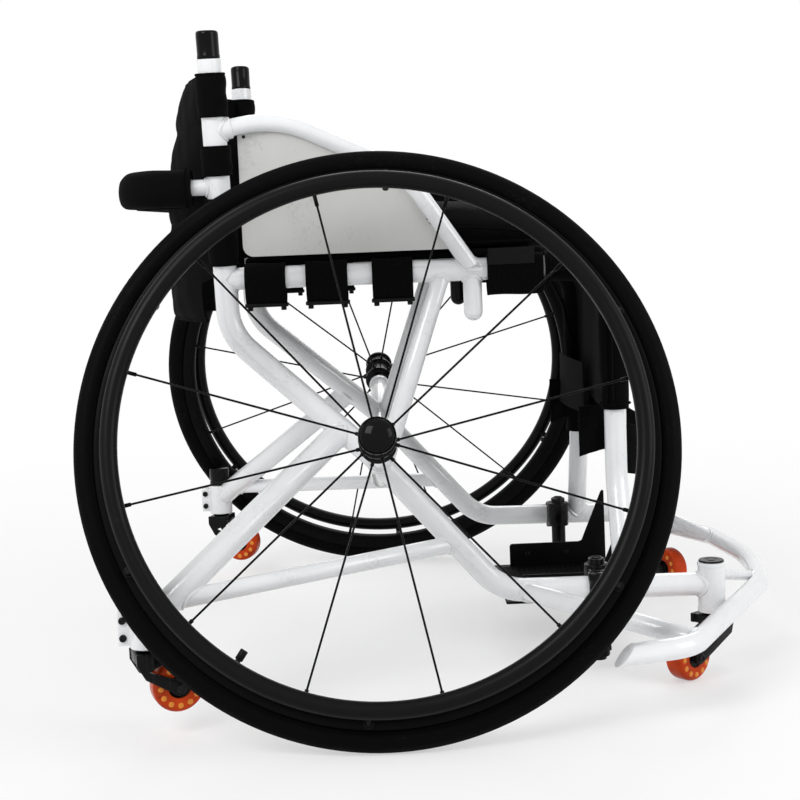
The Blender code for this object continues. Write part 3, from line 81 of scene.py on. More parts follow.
def tone(name, description, default):
    """A colour that a user may change."""
    return bpy.props.FloatVectorProperty(name=name, description=description, default=default, subtype="COLOR")


# Sizes and colours that a user would change
class ChairSizes(bpy.types.PropertyGroup):
    """Sizes of the chair's visible pieces."""

    tube_radius: length("Main tube radius", "Outer radius of the side tubes", 0.013)
    rail_radius: length("Seat rail radius", "Outer radius of the seat rails", 0.0124)
    bumper_radius: length("Bumper radius", "Outer radius of the round bumper tube", 0.0112)
    guard_radius: length("Guard tube radius", "Outer radius of the side guard's tube", 0.0095)
    tyre_radius: length("Tyre radius", "Outer radius of a drive wheel", 0.305)
    tyre_section: length("Tyre section", "Radius of a drive tyre's section", 0.0125)
    handrim_radius: length("Handrim radius", "Radius to the middle of the handrim's tube", 0.2643)
    handrim_tube: length("Handrim tube", "Radius of the handrim's own tube", 0.009)
    handrim_offset: length("Handrim offset", "Distance from rim to handrim, middle to middle", 0.032)
    spoke_count: bpy.props.IntProperty(
        name="Spokes", description="Spokes in one drive wheel", default=12, min=4, max=48
    )
    caster_radius: length("Caster radius", "Outer radius of a caster wheel", 0.027)
    bead_radius: length("Weld bead radius", "Radius of the weld beads", 0.0022)
    cushion_cap: length("Cushion swell", "Most that the cushion's cover may swell", 0.006)
    thread_pitch: length("Thread pitch", "Distance between the cloth's threads", 0.0011)


class ChairColours(bpy.types.PropertyGroup):
    """Colours of the chair's finishes."""

    paint: tone("Frame paint", "Gloss powder coat", (0.84, 0.85, 0.865))
    guard: tone("Guard panel", "Satin guard panel", (0.56, 0.56, 0.545))
    rubber: tone("Tyre rubber", "Drive tyre", (0.0032, 0.0032, 0.0034))
    alloy: tone("Black alloy", "Rims, handrims and hubs", (0.0032, 0.0032, 0.0034))
    urethane: tone("Caster urethane", "See-through caster tyre", (0.64, 0.056, 0.004))
    amber: tone("Caster dots", "Pale dots in the caster tyre", (0.78, 0.27, 0.04))
    cloth: tone("Cloth", "Sling, straps and covers", (0.0024, 0.0024, 0.0026))
    steel: tone("Bolt steel", "Bright bolts and axles", (0.55, 0.56, 0.57))


# Node helpers and the effects that several materials share
def add_node(tree, kind, inputs=None, **settings):
    node = tree.nodes.new(kind)
    for key, value in settings.items():
        setattr(node, key, value)
    for key, value in (inputs or {}).items():
        if isinstance(value, bpy.types.NodeSocket):
            tree.links.new(value, node.inputs[key])
        else:
            node.inputs[key].default_value = value
    return node


def new_group(name, setting, default, *outputs):
    """An empty node group that takes a place and one value, and gives the named values."""
    tree = bpy.data.node_groups.new(name, "ShaderNodeTree")
    tree.interface.new_socket("Vector", in_out="INPUT", socket_type="NodeSocketVector")
    tree.interface.new_socket(setting, in_out="INPUT", socket_type="NodeSocketFloat").default_value = default
    for label in outputs:
        tree.interface.new_socket(label, in_out="OUTPUT", socket_type="NodeSocketFloat")
    return tree, tree.nodes.new("NodeGroupInput"), tree.nodes.new("NodeGroupOutput")


def ramp(tree, value, low, high):
    """Maps the span from low to high to the span from nothing to one, and keeps to it."""
    inputs = {"Value": value, "From Min": low, "From Max": high}
    return add_node(tree, "ShaderNodeMapRange", inputs, clamp=True).outputs["Result"]


def maths(tree, operation, one, two):
    return add_node(tree, "ShaderNodeMath", {0: one, 1: two}, operation=operation).outputs[0]


def times(tree, one, two):
    return maths(tree, "MULTIPLY", one, two)


def plus(tree, one, two):
    return maths(tree, "ADD", one, two)


def sine(tree, value, factor):
    """The sine of the value times the factor."""
    return maths(tree, "SINE", times(tree, value, factor), 0.0)


def noise(tree, place, scale, detail):
    inputs = {"Vector": place, "Scale": scale, "Detail": detail}
    return add_node(tree, "ShaderNodeTexNoise", inputs).outputs["Fac"]


def finish_group():
    """Fine ripple of a coat with handling smears: a height and two masks."""
    tree, given, result = new_group("Coat ripple and smears", "Grain", 600.0, "Height", "Smear", "Speck")
    place = given.outputs["Vector"]
    cloudy = noise(tree, place, 22.0, 5.0)
    fine = noise(tree, place, 260.0, 4.0)
    tree.links.new(noise(tree, place, given.outputs["Grain"], 2.0), result.inputs["Height"])
    tree.links.new(ramp(tree, cloudy, 0.38, 0.66), result.inputs["Smear"])
    tree.links.new(ramp(tree, times(tree, cloudy, fine), 0.33, 0.42), result.inputs["Speck"])
    return tree


def scratch_group():
    """Short scratches lying along the piece, where hands and balls rub it."""
    tree, given, result = new_group("Rubbed scratches", "Amount", 0.5, "Mask")
    place = given.outputs["Vector"]
    stretched = add_node(tree, "ShaderNodeMapping", {"Vector": place, "Scale": (40.0, 900.0, 1.0)})
    lines = noise(tree, stretched.outputs["Vector"], 1.0, 3.0)
    patches = noise(tree, place, 9.0, 2.0)
    both = times(tree, ramp(tree, lines, 0.60, 0.72), ramp(tree, patches, 0.48, 0.62))
    tree.links.new(times(tree, both, given.outputs["Amount"]), result.inputs["Mask"])
    return tree


def weave_group():
    """Plain weave: threads across and along, with a height and a mask of the gaps between them."""
    tree, given, result = new_group("Plain weave", "Threads", 900.0, "Height", "Gaps", "Fuzz")
    place = given.outputs["Vector"]
    split = add_node(tree, "ShaderNodeSeparateXYZ", {0: place})
    turns = [times(tree, split.outputs[axis], given.outputs["Threads"]) for axis in ("X", "Y")]
    across, along = (sine(tree, turn, math.tau) for turn in turns)
    height = plus(tree, times(tree, times(tree, across, along), 0.5), 0.5)
    fuzz = noise(tree, place, 1500.0, 3.0)
    tree.links.new(plus(tree, height, times(tree, fuzz, 0.4)), result.inputs["Height"])
    tree.links.new(ramp(tree, height, 0.30, 0.05), result.inputs["Gaps"])
    tree.links.new(fuzz, result.inputs["Fuzz"])
    return tree


def place_group(tree, name, inputs):
    """The shared node group of that name, made on first use, with its inputs set."""
    makers = {
        "Coat ripple and smears": finish_group,
        "Rubbed scratches": scratch_group,
        "Plain weave": weave_group,
    }
    group = bpy.data.node_groups.get(name) or makers[name]()
    return add_node(tree, "ShaderNodeGroup", inputs, node_tree=group).outputs


def ripple(tree, place, grain):
    return place_group(tree, "Coat ripple and smears", {"Vector": place, "Grain": grain})


def new_material(name, colour, constants):
    """A material with its node tree, and the two kinds of place that its pattern may read."""
    made = bpy.data.materials.new(name)
    made.use_nodes = True
    made.diffuse_color = (*colour, 1)
    tree = made.node_tree
    shader = tree.nodes["Principled BSDF"]
    for key, value in {"Base Color": (*colour, 1), **constants}.items():
        shader.inputs[key].default_value = value
    where = tree.nodes.new("ShaderNodeTexCoord").outputs
    return made, tree, where["Object"], where["UV"]


def wired(made, tint, roughness, height, depth):
    """The material with its colour, roughness and bump joined to its shader."""
    tree = made.node_tree
    shader = tree.nodes["Principled BSDF"]
    bump = add_node(tree, "ShaderNodeBump", {"Height": height, "Distance": depth, "Strength": 1.0})
    tree.links.new(tint, shader.inputs["Base Color"])
    tree.links.new(roughness, shader.inputs["Roughness"])
    tree.links.new(bump.outputs["Normal"], shader.inputs["Normal"])
    return made


def mixed(tree, mask, one, two):
    """Blends two colours by a mask that changes over the surface."""
    node = add_node(tree, "ShaderNodeMix", data_type="RGBA", clamp_factor=True)
    tree.links.new(mask, node.inputs["Factor"])
    for index, colour in ((6, one), (7, two)):
        if isinstance(colour, bpy.types.NodeSocket):
            tree.links.new(colour, node.inputs[index])
        else:
            node.inputs[index].default_value = (*colour[:3], 1)
    return node.outputs[2]


def spread(tree, mask, low, high):
    """A value that runs from low, where the mask is black, to high, where it is white."""
    inputs = {"Value": mask, "To Min": low, "To Max": high}
    return add_node(tree, "ShaderNodeMapRange", inputs, clamp=True).outputs["Result"]


def scaled(colour, factor):
    return tuple(min(1.0, channel * factor) for channel in colour)


def coated(name, colour, roughness, grain, depth, coat=0.0, worn=None, amount=0.35, metallic=0.0, shine=0.5):
    """Paint, anodised alloy or moulded plastic: ripple, smears, specks and rubbed scratches."""
    constants = {"Metallic": metallic, "Specular IOR Level": shine}
    constants.update({"Coat Weight": coat, "Coat Roughness": 0.06})
    made, tree, place, _ = new_material(name, colour, constants)
    skin = ripple(tree, place, grain)
    scratches = place_group(tree, "Rubbed scratches", {"Vector": place, "Amount": amount})
    bare = (worn,) * 3 if worn else scaled(colour, 0.8)
    tint = mixed(tree, skin["Smear"], colour, scaled(colour, 0.955))
    tint = mixed(tree, skin["Speck"], tint, scaled(colour, 0.86))
    tint = mixed(tree, scratches["Mask"], tint, bare)
    rough = spread(tree, skin["Smear"], roughness * 0.85, roughness * 1.2)
    return wired(made, tint, rough, skin["Height"], depth)


def cloth_material(name, colour, pitch, depth, ribs=0.0):
    """Woven cloth on the piece's own UV map, in metres, with lighter threads and fuzz."""
    constants = {"Roughness": 0.85, "Sheen Weight": 0.01, "Sheen Roughness": 0.45, "Specular IOR Level": 0.03}
    made, tree, place, flat = new_material(name, colour, constants)
    weave = place_group(tree, "Plain weave", {"Vector": flat, "Threads": 1 / pitch})
    height = weave["Height"]
    if ribs:
        along = add_node(tree, "ShaderNodeSeparateXYZ", {0: flat}).outputs["Y"]
        height = plus(tree, height, times(tree, sine(tree, along, math.tau / ribs), 1.2))
    tint = mixed(tree, weave["Fuzz"], scaled(colour, 0.75), scaled(colour, 1.9))
    tint = mixed(tree, weave["Gaps"], tint, scaled(colour, 0.35))
    tint = mixed(tree, ripple(tree, place, 90.0)["Smear"], tint, scaled(colour, 1.25))
    return wired(made, tint, spread(tree, weave["Fuzz"], 0.7, 0.98), height, depth)


def mesh_cloth(name, colour, cell):
    """Spacer mesh of the cushion's cover: small round holes in rows."""
    constants = {"Sheen Weight": 0.01, "Sheen Roughness": 0.5, "Specular IOR Level": 0.03}
    made, tree, place, _ = new_material(name, colour, constants)
    holes = {"Vector": place, "Scale": 1 / cell, "Randomness": 0.12}
    web = ramp(tree, add_node(tree, "ShaderNodeTexVoronoi", holes).outputs["Distance"], 0.18, 0.42)
    smears = ripple(tree, place, 900.0)
    tint = mixed(tree, web, scaled(colour, 0.25), scaled(colour, 1.5))
    tint = mixed(tree, smears["Smear"], tint, scaled(colour, 1.9))
    height = plus(tree, web, smears["Height"])
    return wired(made, tint, spread(tree, smears["Height"], 0.75, 0.95), height, 0.0005)


def tyre_material(name, colour, crown):
    """Road tyre: fine diagonal file tread over the crown, smooth side walls with moulded rings and dust."""
    made, tree, place, flat = new_material(name, colour, {"Specular IOR Level": 0.02})
    split = add_node(tree, "ShaderNodeSeparateXYZ", {0: flat}).outputs
    middle = maths(tree, "ABSOLUTE", split["Y"], 0.0)
    tread = ramp(tree, middle, crown + 0.0006, crown - 0.0006)
    file_cuts = sine(tree, plus(tree, split["X"], times(tree, middle, 1.1)), math.tau / 0.0024)
    pattern = times(tree, times(tree, file_cuts, ramp(tree, middle, 0.0010, 0.0016)), tread)
    rings = ramp(tree, sine(tree, split["Y"], math.tau / 0.0021), 0.86, 1.0)
    rings = times(tree, rings, maths(tree, "SUBTRACT", 1.0, tread))
    skin = ripple(tree, place, 1800.0)
    height = plus(tree, plus(tree, times(tree, pattern, 0.8), rings), times(tree, skin["Height"], 0.35))
    tint = mixed(tree, times(tree, tread, skin["Smear"]), colour, scaled(colour, 2.6))
    tint = mixed(tree, skin["Speck"], tint, scaled(colour, 1.9))
    return wired(made, tint, spread(tree, tread, 0.42, 0.68), height, 0.00025)


def urethane_material(name, colour):
    """See-through urethane: glossy skin over a cloudy, slightly uneven colour."""
    constants = {
        "Subsurface Weight": 0.06,
        "Subsurface Radius": (0.012, 0.004, 0.001),
        "Coat Weight": 0.04,
        "Coat Roughness": 0.05,
        "Specular IOR Level": 0.12,
        "Transmission Weight": 0.04,
        "IOR": 1.46,
    }
    made, tree, place, _ = new_material(name, colour, constants)
    skin = ripple(tree, place, 700.0)
    tint = mixed(tree, skin["Smear"], colour, scaled(colour, 0.5))
    tint = mixed(tree, skin["Speck"], tint, scaled(colour, 0.35))
    return wired(made, tint, spread(tree, skin["Smear"], 0.16, 0.32), skin["Height"], 0.00006)


# Black finishes: share of the alloy's tone, roughness, grain, bump, worn grey, scratches, specular level
BLACKS = {
    "rim_black": (1.0, 0.30, 1500.0, 0.00003, 0.008, 0.2, 0.04),
    "handrim_black": (1.2, 0.33, 1100.0, 0.00004, 0.014, 0.4, 0.09),
    "hub_black": (1.0, 0.24, 900.0, 0.00003, 0.012, 0.3, 0.12),
    "spoke_black": (0.9, 0.32, 1200.0, 0.00002, None, 0.35, 0.08),
    # This gloss black also paints the shade on the left seat peg.
    "gloss_black": (0.8, 0.11, 260.0, 0.00002, 0.010, 0.3, 0.10),
    "fork_black": (0.9, 0.24, 700.0, 0.00005, 0.020, 0.5, 0.12),
    "tray_black": (1.1, 0.42, 1500.0, 0.00008, 0.010, 0.6, 0.05),
    "grip_rubber": (1.3, 0.75, 1900.0, 0.00020, 0.010, 0.6, 0.03),
    "bolt_black": (1.4, 0.30, 900.0, 0.00003, 0.030, 0.6, 0.20),
    "buckle_black": (1.6, 0.40, 1700.0, 0.00010, None, 0.35, 0.10),
}

# Cloths: share of the cloth's tone, share of the thread pitch, bump, rib spacing
CLOTHS = {
    "back_cloth": (1.0, 1.0, 0.00020, 0.0),
    "pad_cloth": (1.1, 0.8, 0.00018, 0.0),
    "sleeve_cloth": (0.9, 0.7, 0.00016, 0.0),
    "strap_web": (1.0, 0.9, 0.00010, 0.0019),
    "thread": (2.2, 0.3, 0.00004, 0.0),
}
PATCH_TONE = (0.011, 0.011, 0.011)
TREAD_HALF_WIDTH = 0.0105
COVER_HOLE_SPACING = 0.0028


def finish(name):
    """The material of that name, made on first use."""
    found = bpy.data.materials.get(name)
    if found:
        return found
    pitch = bpy.context.scene.chair_sizes.thread_pitch
    tones = bpy.context.scene.chair_colours
    colour = {key: tuple(getattr(tones, key)) for key in ChairColours.__annotations__}
    if name in BLACKS:
        share, roughness, grain, depth, worn, amount, shine = BLACKS[name]
        black = scaled(colour["alloy"], share)
        return coated(name, black, roughness, grain, depth, worn=worn, amount=amount, shine=shine)
    if name in CLOTHS:
        share, fineness, depth, ribs = CLOTHS[name]
        return cloth_material(name, scaled(colour["cloth"], share), pitch * fineness, depth, ribs)
    paint = colour["paint"]
    makers = {
        "frame_paint": lambda: coated(name, paint, 0.24, 380.0, 0.00005, 0.7, amount=0.25),
        "weld_paint": lambda: coated(name, scaled(paint, 0.98), 0.30, 900.0, 0.0001, 0.5),
        "guard_paint": lambda: coated(name, colour["guard"], 0.42, 1400.0, 0.00007, 0.1, amount=0.5),
        "bolt_steel": lambda: coated(name, colour["steel"], 0.26, 1500.0, 0.00003, metallic=1.0),
        "caster_dot": lambda: coated(name, colour["amber"], 0.18, 900.0, 0.00003, amount=0.2, shine=0.15),
        "patch_grey": lambda: cloth_material(name, PATCH_TONE, pitch * 0.7, 0.00005),
        "tyre_rubber": lambda: tyre_material(name, colour["rubber"], TREAD_HALF_WIDTH),
        "cushion_mesh": lambda: mesh_cloth(name, colour["cloth"], COVER_HOLE_SPACING),
        "caster_orange": lambda: urethane_material(name, colour["urethane"]),
    }
    return makers[name]()


# Modelling helpers
def at(side, x, y, z):
    """A place on the chair, with X measured from the wheels' axle line."""
    return Vector((x + AXLE_X, side * y, z))


def active():
    return bpy.context.view_layer.objects.active


def deselect():
    for obj in bpy.context.view_layer.objects:
        obj.select_set(False)


def choose(obj):
    deselect()
    obj.select_set(True)
    bpy.context.view_layer.objects.active = obj


def apply_modifiers(obj):
    choose(obj)
    for modifier in list(obj.modifiers):
        bpy.ops.object.modifier_apply(modifier=modifier.name)


def edit_all(obj):
    """Opens the mesh for editing, with everything selected."""
    choose(obj)
    bpy.ops.object.mode_set(mode="EDIT")
    bpy.ops.mesh.select_all(action="SELECT")


def recalculate(obj):
    """Merges doubles and turns the faces outwards."""
    edit_all(obj)
    bpy.ops.mesh.remove_doubles(threshold=0.00001)
    bpy.ops.mesh.normals_make_consistent(inside=False)
    bpy.ops.object.mode_set(mode="OBJECT")


def smooth(obj, angle=SMOOTH_ANGLE):
    choose(obj)
    bpy.ops.object.shade_smooth_by_angle(angle=angle)


def settle(obj):
    """Moves the object's place into its mesh, so that the object sits at the origin."""
    bpy.context.view_layer.update()
    obj.data.transform(obj.matrix_world)
    obj.matrix_world = Matrix.Identity(4)


def dress(obj, material):
    obj.data.materials.clear()
    obj.data.materials.append(finish(material))
    return obj


def joined(name, objects):
    """Joins the objects into one piece, each keeping its own material."""
    choose(objects[0])
    for obj in objects:
        obj.select_set(True)
    bpy.context.view_layer.objects.active = objects[0]
    if len(objects) > 1:
        bpy.ops.object.join()
    made = active()
    made.name = name
    made.data.name = name
    return made


def mount(obj, body, slot, *nodes):
    """Lets the finished piece ride on its body, in place of the nodes it stands for."""
    deselect()
    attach(obj, body)
    if nodes:
        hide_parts(*nodes)
    return obj


def from_points(name, points, edges=(), faces=()):
    mesh = bpy.data.meshes.new(name)
    mesh.from_pydata([tuple(point) for point in points], edges, faces)
    obj = bpy.data.objects.new(name, mesh)
    bpy.context.scene.collection.objects.link(obj)
    return obj


def rounded_path(corners, radii, step=math.radians(5)):
    """The corners as a path, each inner corner replaced by an arc of its radius."""
    path = [corners[0]]
    for before, corner, after, radius in zip(corners, corners[1:], corners[2:], radii):
        backward = (before - corner).normalized()
        forward = (after - corner).normalized()
        turn = math.pi - backward.angle(forward)
        reach = radius * math.tan(turn / 2)
        centre = corner + (backward + forward).normalized() * radius / math.cos(turn / 2)
        arm = corner + backward * reach - centre
        axis = arm.cross(corner + forward * reach - centre).normalized()
        steps = max(2, math.ceil(turn / step))
        for index in range(steps + 1):
            path.append(centre + Matrix.Rotation(turn * index / steps, 3, axis) @ arm)
    path.append(corners[-1])
    return path


def point_where(path, axis, value):
    """The first point of the path whose coordinate along the axis is the value."""
    for start, end in zip(path, path[1:]):
        low, high = sorted((start[axis], end[axis]))
        if low <= value <= high and high > low:
            return start.lerp(end, (value - start[axis]) / (end[axis] - start[axis]))
    raise ValueError(f"the path never reaches {value} along axis {axis}")


def stretch_of(path, first, last):
    """The stretch of the path between two points that lie on it."""

    def travel(place):
        travelled, best = 0.0, (1e9, 0.0)
        for start, end in zip(path, path[1:]):
            span = end - start
            share = min(1.0, max(0.0, (place - start).dot(span) / span.length_squared))
            best = min(best, ((start + span * share - place).length, travelled + share * span.length))
            travelled += span.length
        return best[1]

    low, high = travel(first), travel(last)
    inner = [point for point in path if low + 0.0005 < travel(point) < high - 0.0005]
    return [first, *inner, last]


def evenly(path, spacing):
    """Points at an even spacing along the path."""
    total = sum((b - a).length for a, b in zip(path, path[1:]))
    count = max(2, round(total / spacing))
    made, travelled, index = [path[0]], 0.0, 0
    for step in range(1, count):
        goal = total * step / count
        while travelled + (path[index + 1] - path[index]).length < goal:
            travelled += (path[index + 1] - path[index]).length
            index += 1
        span = path[index + 1] - path[index]
        made.append(path[index] + span * ((goal - travelled) / span.length))
    return [*made, path[-1]]


def tube(name, path, radius, material, sides=28, swell=None, closed=False):
    """A round bar along the path, drawn as a bevelled curve and made a mesh."""
    deselect()
    bpy.ops.curve.primitive_nurbs_path_add()
    obj = active()
    curve = obj.data
    curve.splines.clear()
    spline = curve.splines.new("POLY")
    spline.points.add(len(path) - 1)
    for index, (point, place) in enumerate(zip(spline.points, path)):
        point.co = (*place, 1)
        point.radius = swell(index / (len(path) - 1)) if swell else 1.0
    spline.use_cyclic_u = closed
    curve.dimensions = "3D"
    curve.bevel_depth = radius
    curve.bevel_resolution = max(1, sides // 4 - 1)
    curve.use_fill_caps = not closed
    obj.matrix_world = Matrix.Identity(4)
    choose(obj)
    bpy.ops.object.convert(target="MESH")
    obj = active()
    recalculate(obj)
    smooth(obj, math.radians(50))
    obj.name = name
    return dress(obj, material)


def thicken(obj, thickness, offset=0.0):
    """Gives the sheet a thickness: to both sides of it, or to one side with an offset of one."""
    solid = obj.modifiers.new("Thickness", "SOLIDIFY")
    solid.thickness = thickness
    solid.offset = offset


def soften(obj, levels):
    subdivided = obj.modifiers.new("Soften", "SUBSURF")
    subdivided.levels = subdivided.render_levels = levels


def aimed(place, direction):
    """The matrix that sets a shape on the place with its Z along the direction."""
    return Matrix.Translation(place) @ direction.to_track_quat("Z", "Y").to_matrix().to_4x4()


def mirrored(profile):
    """The profile, followed by its mirror image below or above its last point."""
    return profile + [(r, -z) for r, z in reversed(profile[:-1])]


def turned(name, profile, material, segments=64, matrix=None, angle=SMOOTH_ANGLE):
    """A shape spun about Z from pairs of radius and height, then set in its place."""
    edges = [(i, i + 1) for i in range(len(profile) - 1)]
    obj = from_points(name, [(r, 0, z) for r, z in profile], edges)
    edit_all(obj)
    bpy.ops.mesh.spin(steps=segments, angle=math.tau, center=(0, 0, 0), axis=(0, 0, 1))
    bpy.ops.object.mode_set(mode="OBJECT")
    recalculate(obj)
    smooth(obj, angle)
    if matrix:
        obj.data.transform(matrix)
    return dress(obj, material)


def ring_profile(centre, radius, steps):
    """A closed round section for a turned ring."""
    spots = [math.tau * step / steps for step in range(steps + 1)]
    return [(centre[0] + radius * math.cos(a), centre[1] + radius * math.sin(a)) for a in spots]


def block(name, low, high, material, bevel=0.001, matrix=None, segments=3):
    """A box with rounded edges between two corners."""
    low, high = Vector(low), Vector(high)
    deselect()
    bpy.ops.mesh.primitive_cube_add(size=1, location=(low + high) / 2)
    obj = active()
    obj.scale = high - low
    settle(obj)
    edit_all(obj)
    bpy.ops.mesh.bevel(offset=bevel, segments=segments, affect="EDGES")
    bpy.ops.object.mode_set(mode="OBJECT")
    smooth(obj)
    if matrix:
        obj.data.transform(matrix)
    obj.name = name
    return dress(obj, material)


def plate(name, outline, thickness, material, bevel=0.0006, matrix=None):
    """A flat plate with rounded edges: one face given its thickness to both sides."""
    obj = from_points(name, outline, [], [tuple(range(len(outline)))])
    thicken(obj, thickness)
    edge = obj.modifiers.new("Edge", "BEVEL")
    edge.width = bevel
    edge.segments = 3
    edge.limit_method = "ANGLE"
    edge.angle_limit = math.radians(50)
    apply_modifiers(obj)
    recalculate(obj)
    smooth(obj)
    if matrix:
        obj.data.transform(matrix)
    return dress(obj, material)


def bar(name, start, end, radius, material, bevel=0.0008, segments=40):
    """A turned bar between two points, with rounded ends."""
    span = (end - start).length
    profile = [(0, 0), (radius - bevel, 0), (radius - bevel * 0.3, bevel * 0.3), (radius, bevel)]
    profile += [(r, span - z) for r, z in reversed(profile)]
    return turned(name, profile, material, segments, aimed(start, end - start))


def screw(name, place, direction, radius, material, height):
    """A button head with a sunk round socket, its underside on the place."""
    deselect()
    bpy.ops.mesh.primitive_cylinder_add(vertices=24, radius=radius, depth=height, location=(0, 0, height / 2))
    obj = active()
    settle(obj)
    choose(obj)
    bpy.ops.object.mode_set(mode="EDIT")

    def select_top(least):
        """Selects the faces that look up at least so much."""
        work = bmesh.from_edit_mesh(obj.data)
        for face in work.faces:
            face.select_set(face.normal.z > least)
        bmesh.update_edit_mesh(obj.data)

    select_top(0.9)
    bpy.ops.mesh.bevel(offset=height * 0.45, segments=3, affect="EDGES")
    select_top(0.99)
    bpy.ops.mesh.inset(thickness=radius * 0.12)
    bpy.ops.mesh.extrude_region_move(TRANSFORM_OT_translate={"value": (0, 0, -height * 0.5)})
    bpy.ops.object.mode_set(mode="OBJECT")
    recalculate(obj)
    smooth(obj)
    obj.data.transform(aimed(place, direction))
    obj.name = name
    return dress(obj, material)


def grid(name, columns, rows, place, material, size, wrap=False, thickness=0.0, levels=0):
    """A sheet whose points are placed by a formula of two shares, with its UV map in metres."""
    deselect()
    bpy.ops.mesh.primitive_grid_add(x_subdivisions=columns, y_subdivisions=rows, size=1, calc_uvs=True)
    obj = active()
    obj.name = name
    for vertex in obj.data.vertices:
        vertex.co = place(vertex.co.x + 0.5, vertex.co.y + 0.5)
    for loop in obj.data.uv_layers.active.data:
        loop.uv = (loop.uv[0] * size[0], loop.uv[1] * size[1])
    obj.matrix_world = Matrix.Identity(4)
    if wrap:
        recalculate(obj)
    if thickness:
        thicken(obj, thickness)
    if levels:
        soften(obj, levels)
    apply_modifiers(obj)
    smooth(obj, math.radians(60))
    return dress(obj, material)


def frames_along(path):
    """Two directions across the path and the one along it at each of its points, carried without a twist."""
    frames, across = [], None
    for index in range(len(path)):
        before, after = path[max(0, index - 1)], path[min(len(path) - 1, index + 1)]
        tangent = (after - before).normalized()
        if across is None:
            across = tangent.orthogonal()
        across = (across - tangent * across.dot(tangent)).normalized()
        frames.append((across, tangent.cross(across), tangent))
    return frames


END_ROWS = 3


def row_of(v, last):
    """The row of the share v, when rows run past both ends, its point, and the rows to the near end."""
    row = v * (last + 2 * END_ROWS) - END_ROWS
    return row, min(last, max(0, round(row))), round(min(row, last - row))


def soft_tube(name, path, radius, material, sides, shape, spacing):
    """A padded sleeve round a path: its radius changes along and around it, and its ends roll in."""
    path = evenly(path, spacing)
    frames = frames_along(path)
    last = len(path) - 1
    run = sum((b - a).length for a, b in zip(path, path[1:]))

    def place(u, v):
        row, index, inside = row_of(v, last)
        angle = u * math.tau
        rolled = {-3: 0.80, -2: 0.90, -1: 0.97}.get(inside, 1.0)
        reach = radius * rolled * shape(angle, index / last)
        one, two, tangent = frames[index]
        inset = {-3: 1.2, -2: 0.2}.get(inside, 0.0) * 0.001
        shift = tangent * (inset if row < 0 else -inset)
        return path[index] + one * (reach * math.cos(angle)) + two * (reach * math.sin(angle)) + shift

    return grid(name, sides, last + 2 * END_ROWS, place, material, (math.tau * radius, run), wrap=True)


def ring_round(centre, way, radius, steps=40):
    """A circle of points round the centre, square to the way."""
    one = way.orthogonal().normalized()
    two = way.cross(one)
    angles = [math.tau * step / steps for step in range(steps)]
    return [centre + (one * math.cos(angle) + two * math.sin(angle)) * radius for angle in angles]


def weld(start, direction, radius, other, along, other_radius):
    """A rippled bead round a tube where it meets another tube's side."""
    direction = direction.normalized()
    along = along.normalized()
    one = direction.orthogonal().normalized()
    two = direction.cross(one)
    count = max(16, round(math.tau * radius / 0.0022))
    count += count % 2
    ring = []
    for step in range(count):
        angle = math.tau * step / count
        place = start + one * (radius * math.cos(angle)) + two * (radius * math.sin(angle))
        offset = place - other
        flat_offset = offset - along * offset.dot(along)
        flat_way = direction - along * direction.dot(along)
        a = flat_way.length_squared
        b = flat_offset.dot(flat_way)
        c = flat_offset.length_squared - other_radius**2
        root = max(0.0, b * b - a * c)
        ring.append(place + direction * ((-b + math.sqrt(root)) / a))

    def swell(share):
        """Every other point of the bead is thinner."""
        return 1.0 if round(share * (count - 1)) % 2 else 0.8

    return tube("bead", ring, bpy.context.scene.chair_sizes.bead_radius, "weld_paint", 8, swell, closed=True)


# Places and radii that several routes and pieces share, with X measured from the axle line
CROSSING_Y = 0.205
CAMBER_BEND_Y = 0.078
GUARD_Y = 0.174
RAIL_HEIGHT = 0.455
RAIL_RADIUS = 0.0124
POST_FRONT_X = 0.266
FRONT_STEM = (0.3615, 0.211)
REAR_STEM = (-0.2415, 0.358)
ARM_HEIGHT = 0.099
LINK_HEIGHT = 0.110
BUMPER_END = (0.226, 0.392, 0.0745)
BUMPER_BEND = (0.306, 0.380, 0.078)
BUMPER_CORNER = (0.434, 0.133, 0.078)
BUMPER_FRONT = (0.456, 0, 0.078)
PEG_X, PEG_BOTTOM, PEG_RADIUS = 0.1108, 0.398, 0.0104
STUB_RADIUS, SEAT_STRUT_RADIUS, BRACE_RADIUS, WING_RADIUS = 0.0125, 0.010, 0.0095, 0.0105
REAR_STRUT_RADIUS, SOCKET_RADIUS, BOW_RADIUS, LINK_RADIUS = 0.0142, 0.0118, 0.009, 0.0062
HOUSING_RADIUS = 0.0155
SLING_LOW, SLING_HIGH, BOW_HEIGHT = 0.462, 0.676, 0.556


# Routes of the tubes
def axle_line_height(y):
    return AXLE[1].z - (AXLE[1].y - y) * math.tan(CAMBER)


def crossing(side):
    return at(side, 0, CROSSING_Y, axle_line_height(CROSSING_Y))


def axle_way(side):
    return Vector((0, side * math.cos(CAMBER), math.sin(CAMBER)))


def main_route(side):
    corners = (
        at(side, -0.1655, 0.188, 0.692),
        at(side, -0.161, 0.165, 0.394),
        crossing(side),
        at(side, 0.128, 0.215, 0.102),
        at(side, *FRONT_STEM, ARM_HEIGHT),
    )
    return rounded_path(corners, (0.060, 0.150, 0.060))


def arm_part(route):
    """The level end of the side tube, which carries the front caster."""
    return [point for point in route if point.x > AXLE_X + 0.09]


def rail_route(side):
    start = point_where(main_route(side), 2, RAIL_HEIGHT)
    foot = point_where(arm_part(main_route(side)), 0, AXLE_X + POST_FRONT_X)
    knee = at(side, POST_FRONT_X, 0.165, RAIL_HEIGHT)
    return rounded_path((start, knee, at(side, POST_FRONT_X, 0.165, 0.215), foot), (0.050, 0.080))


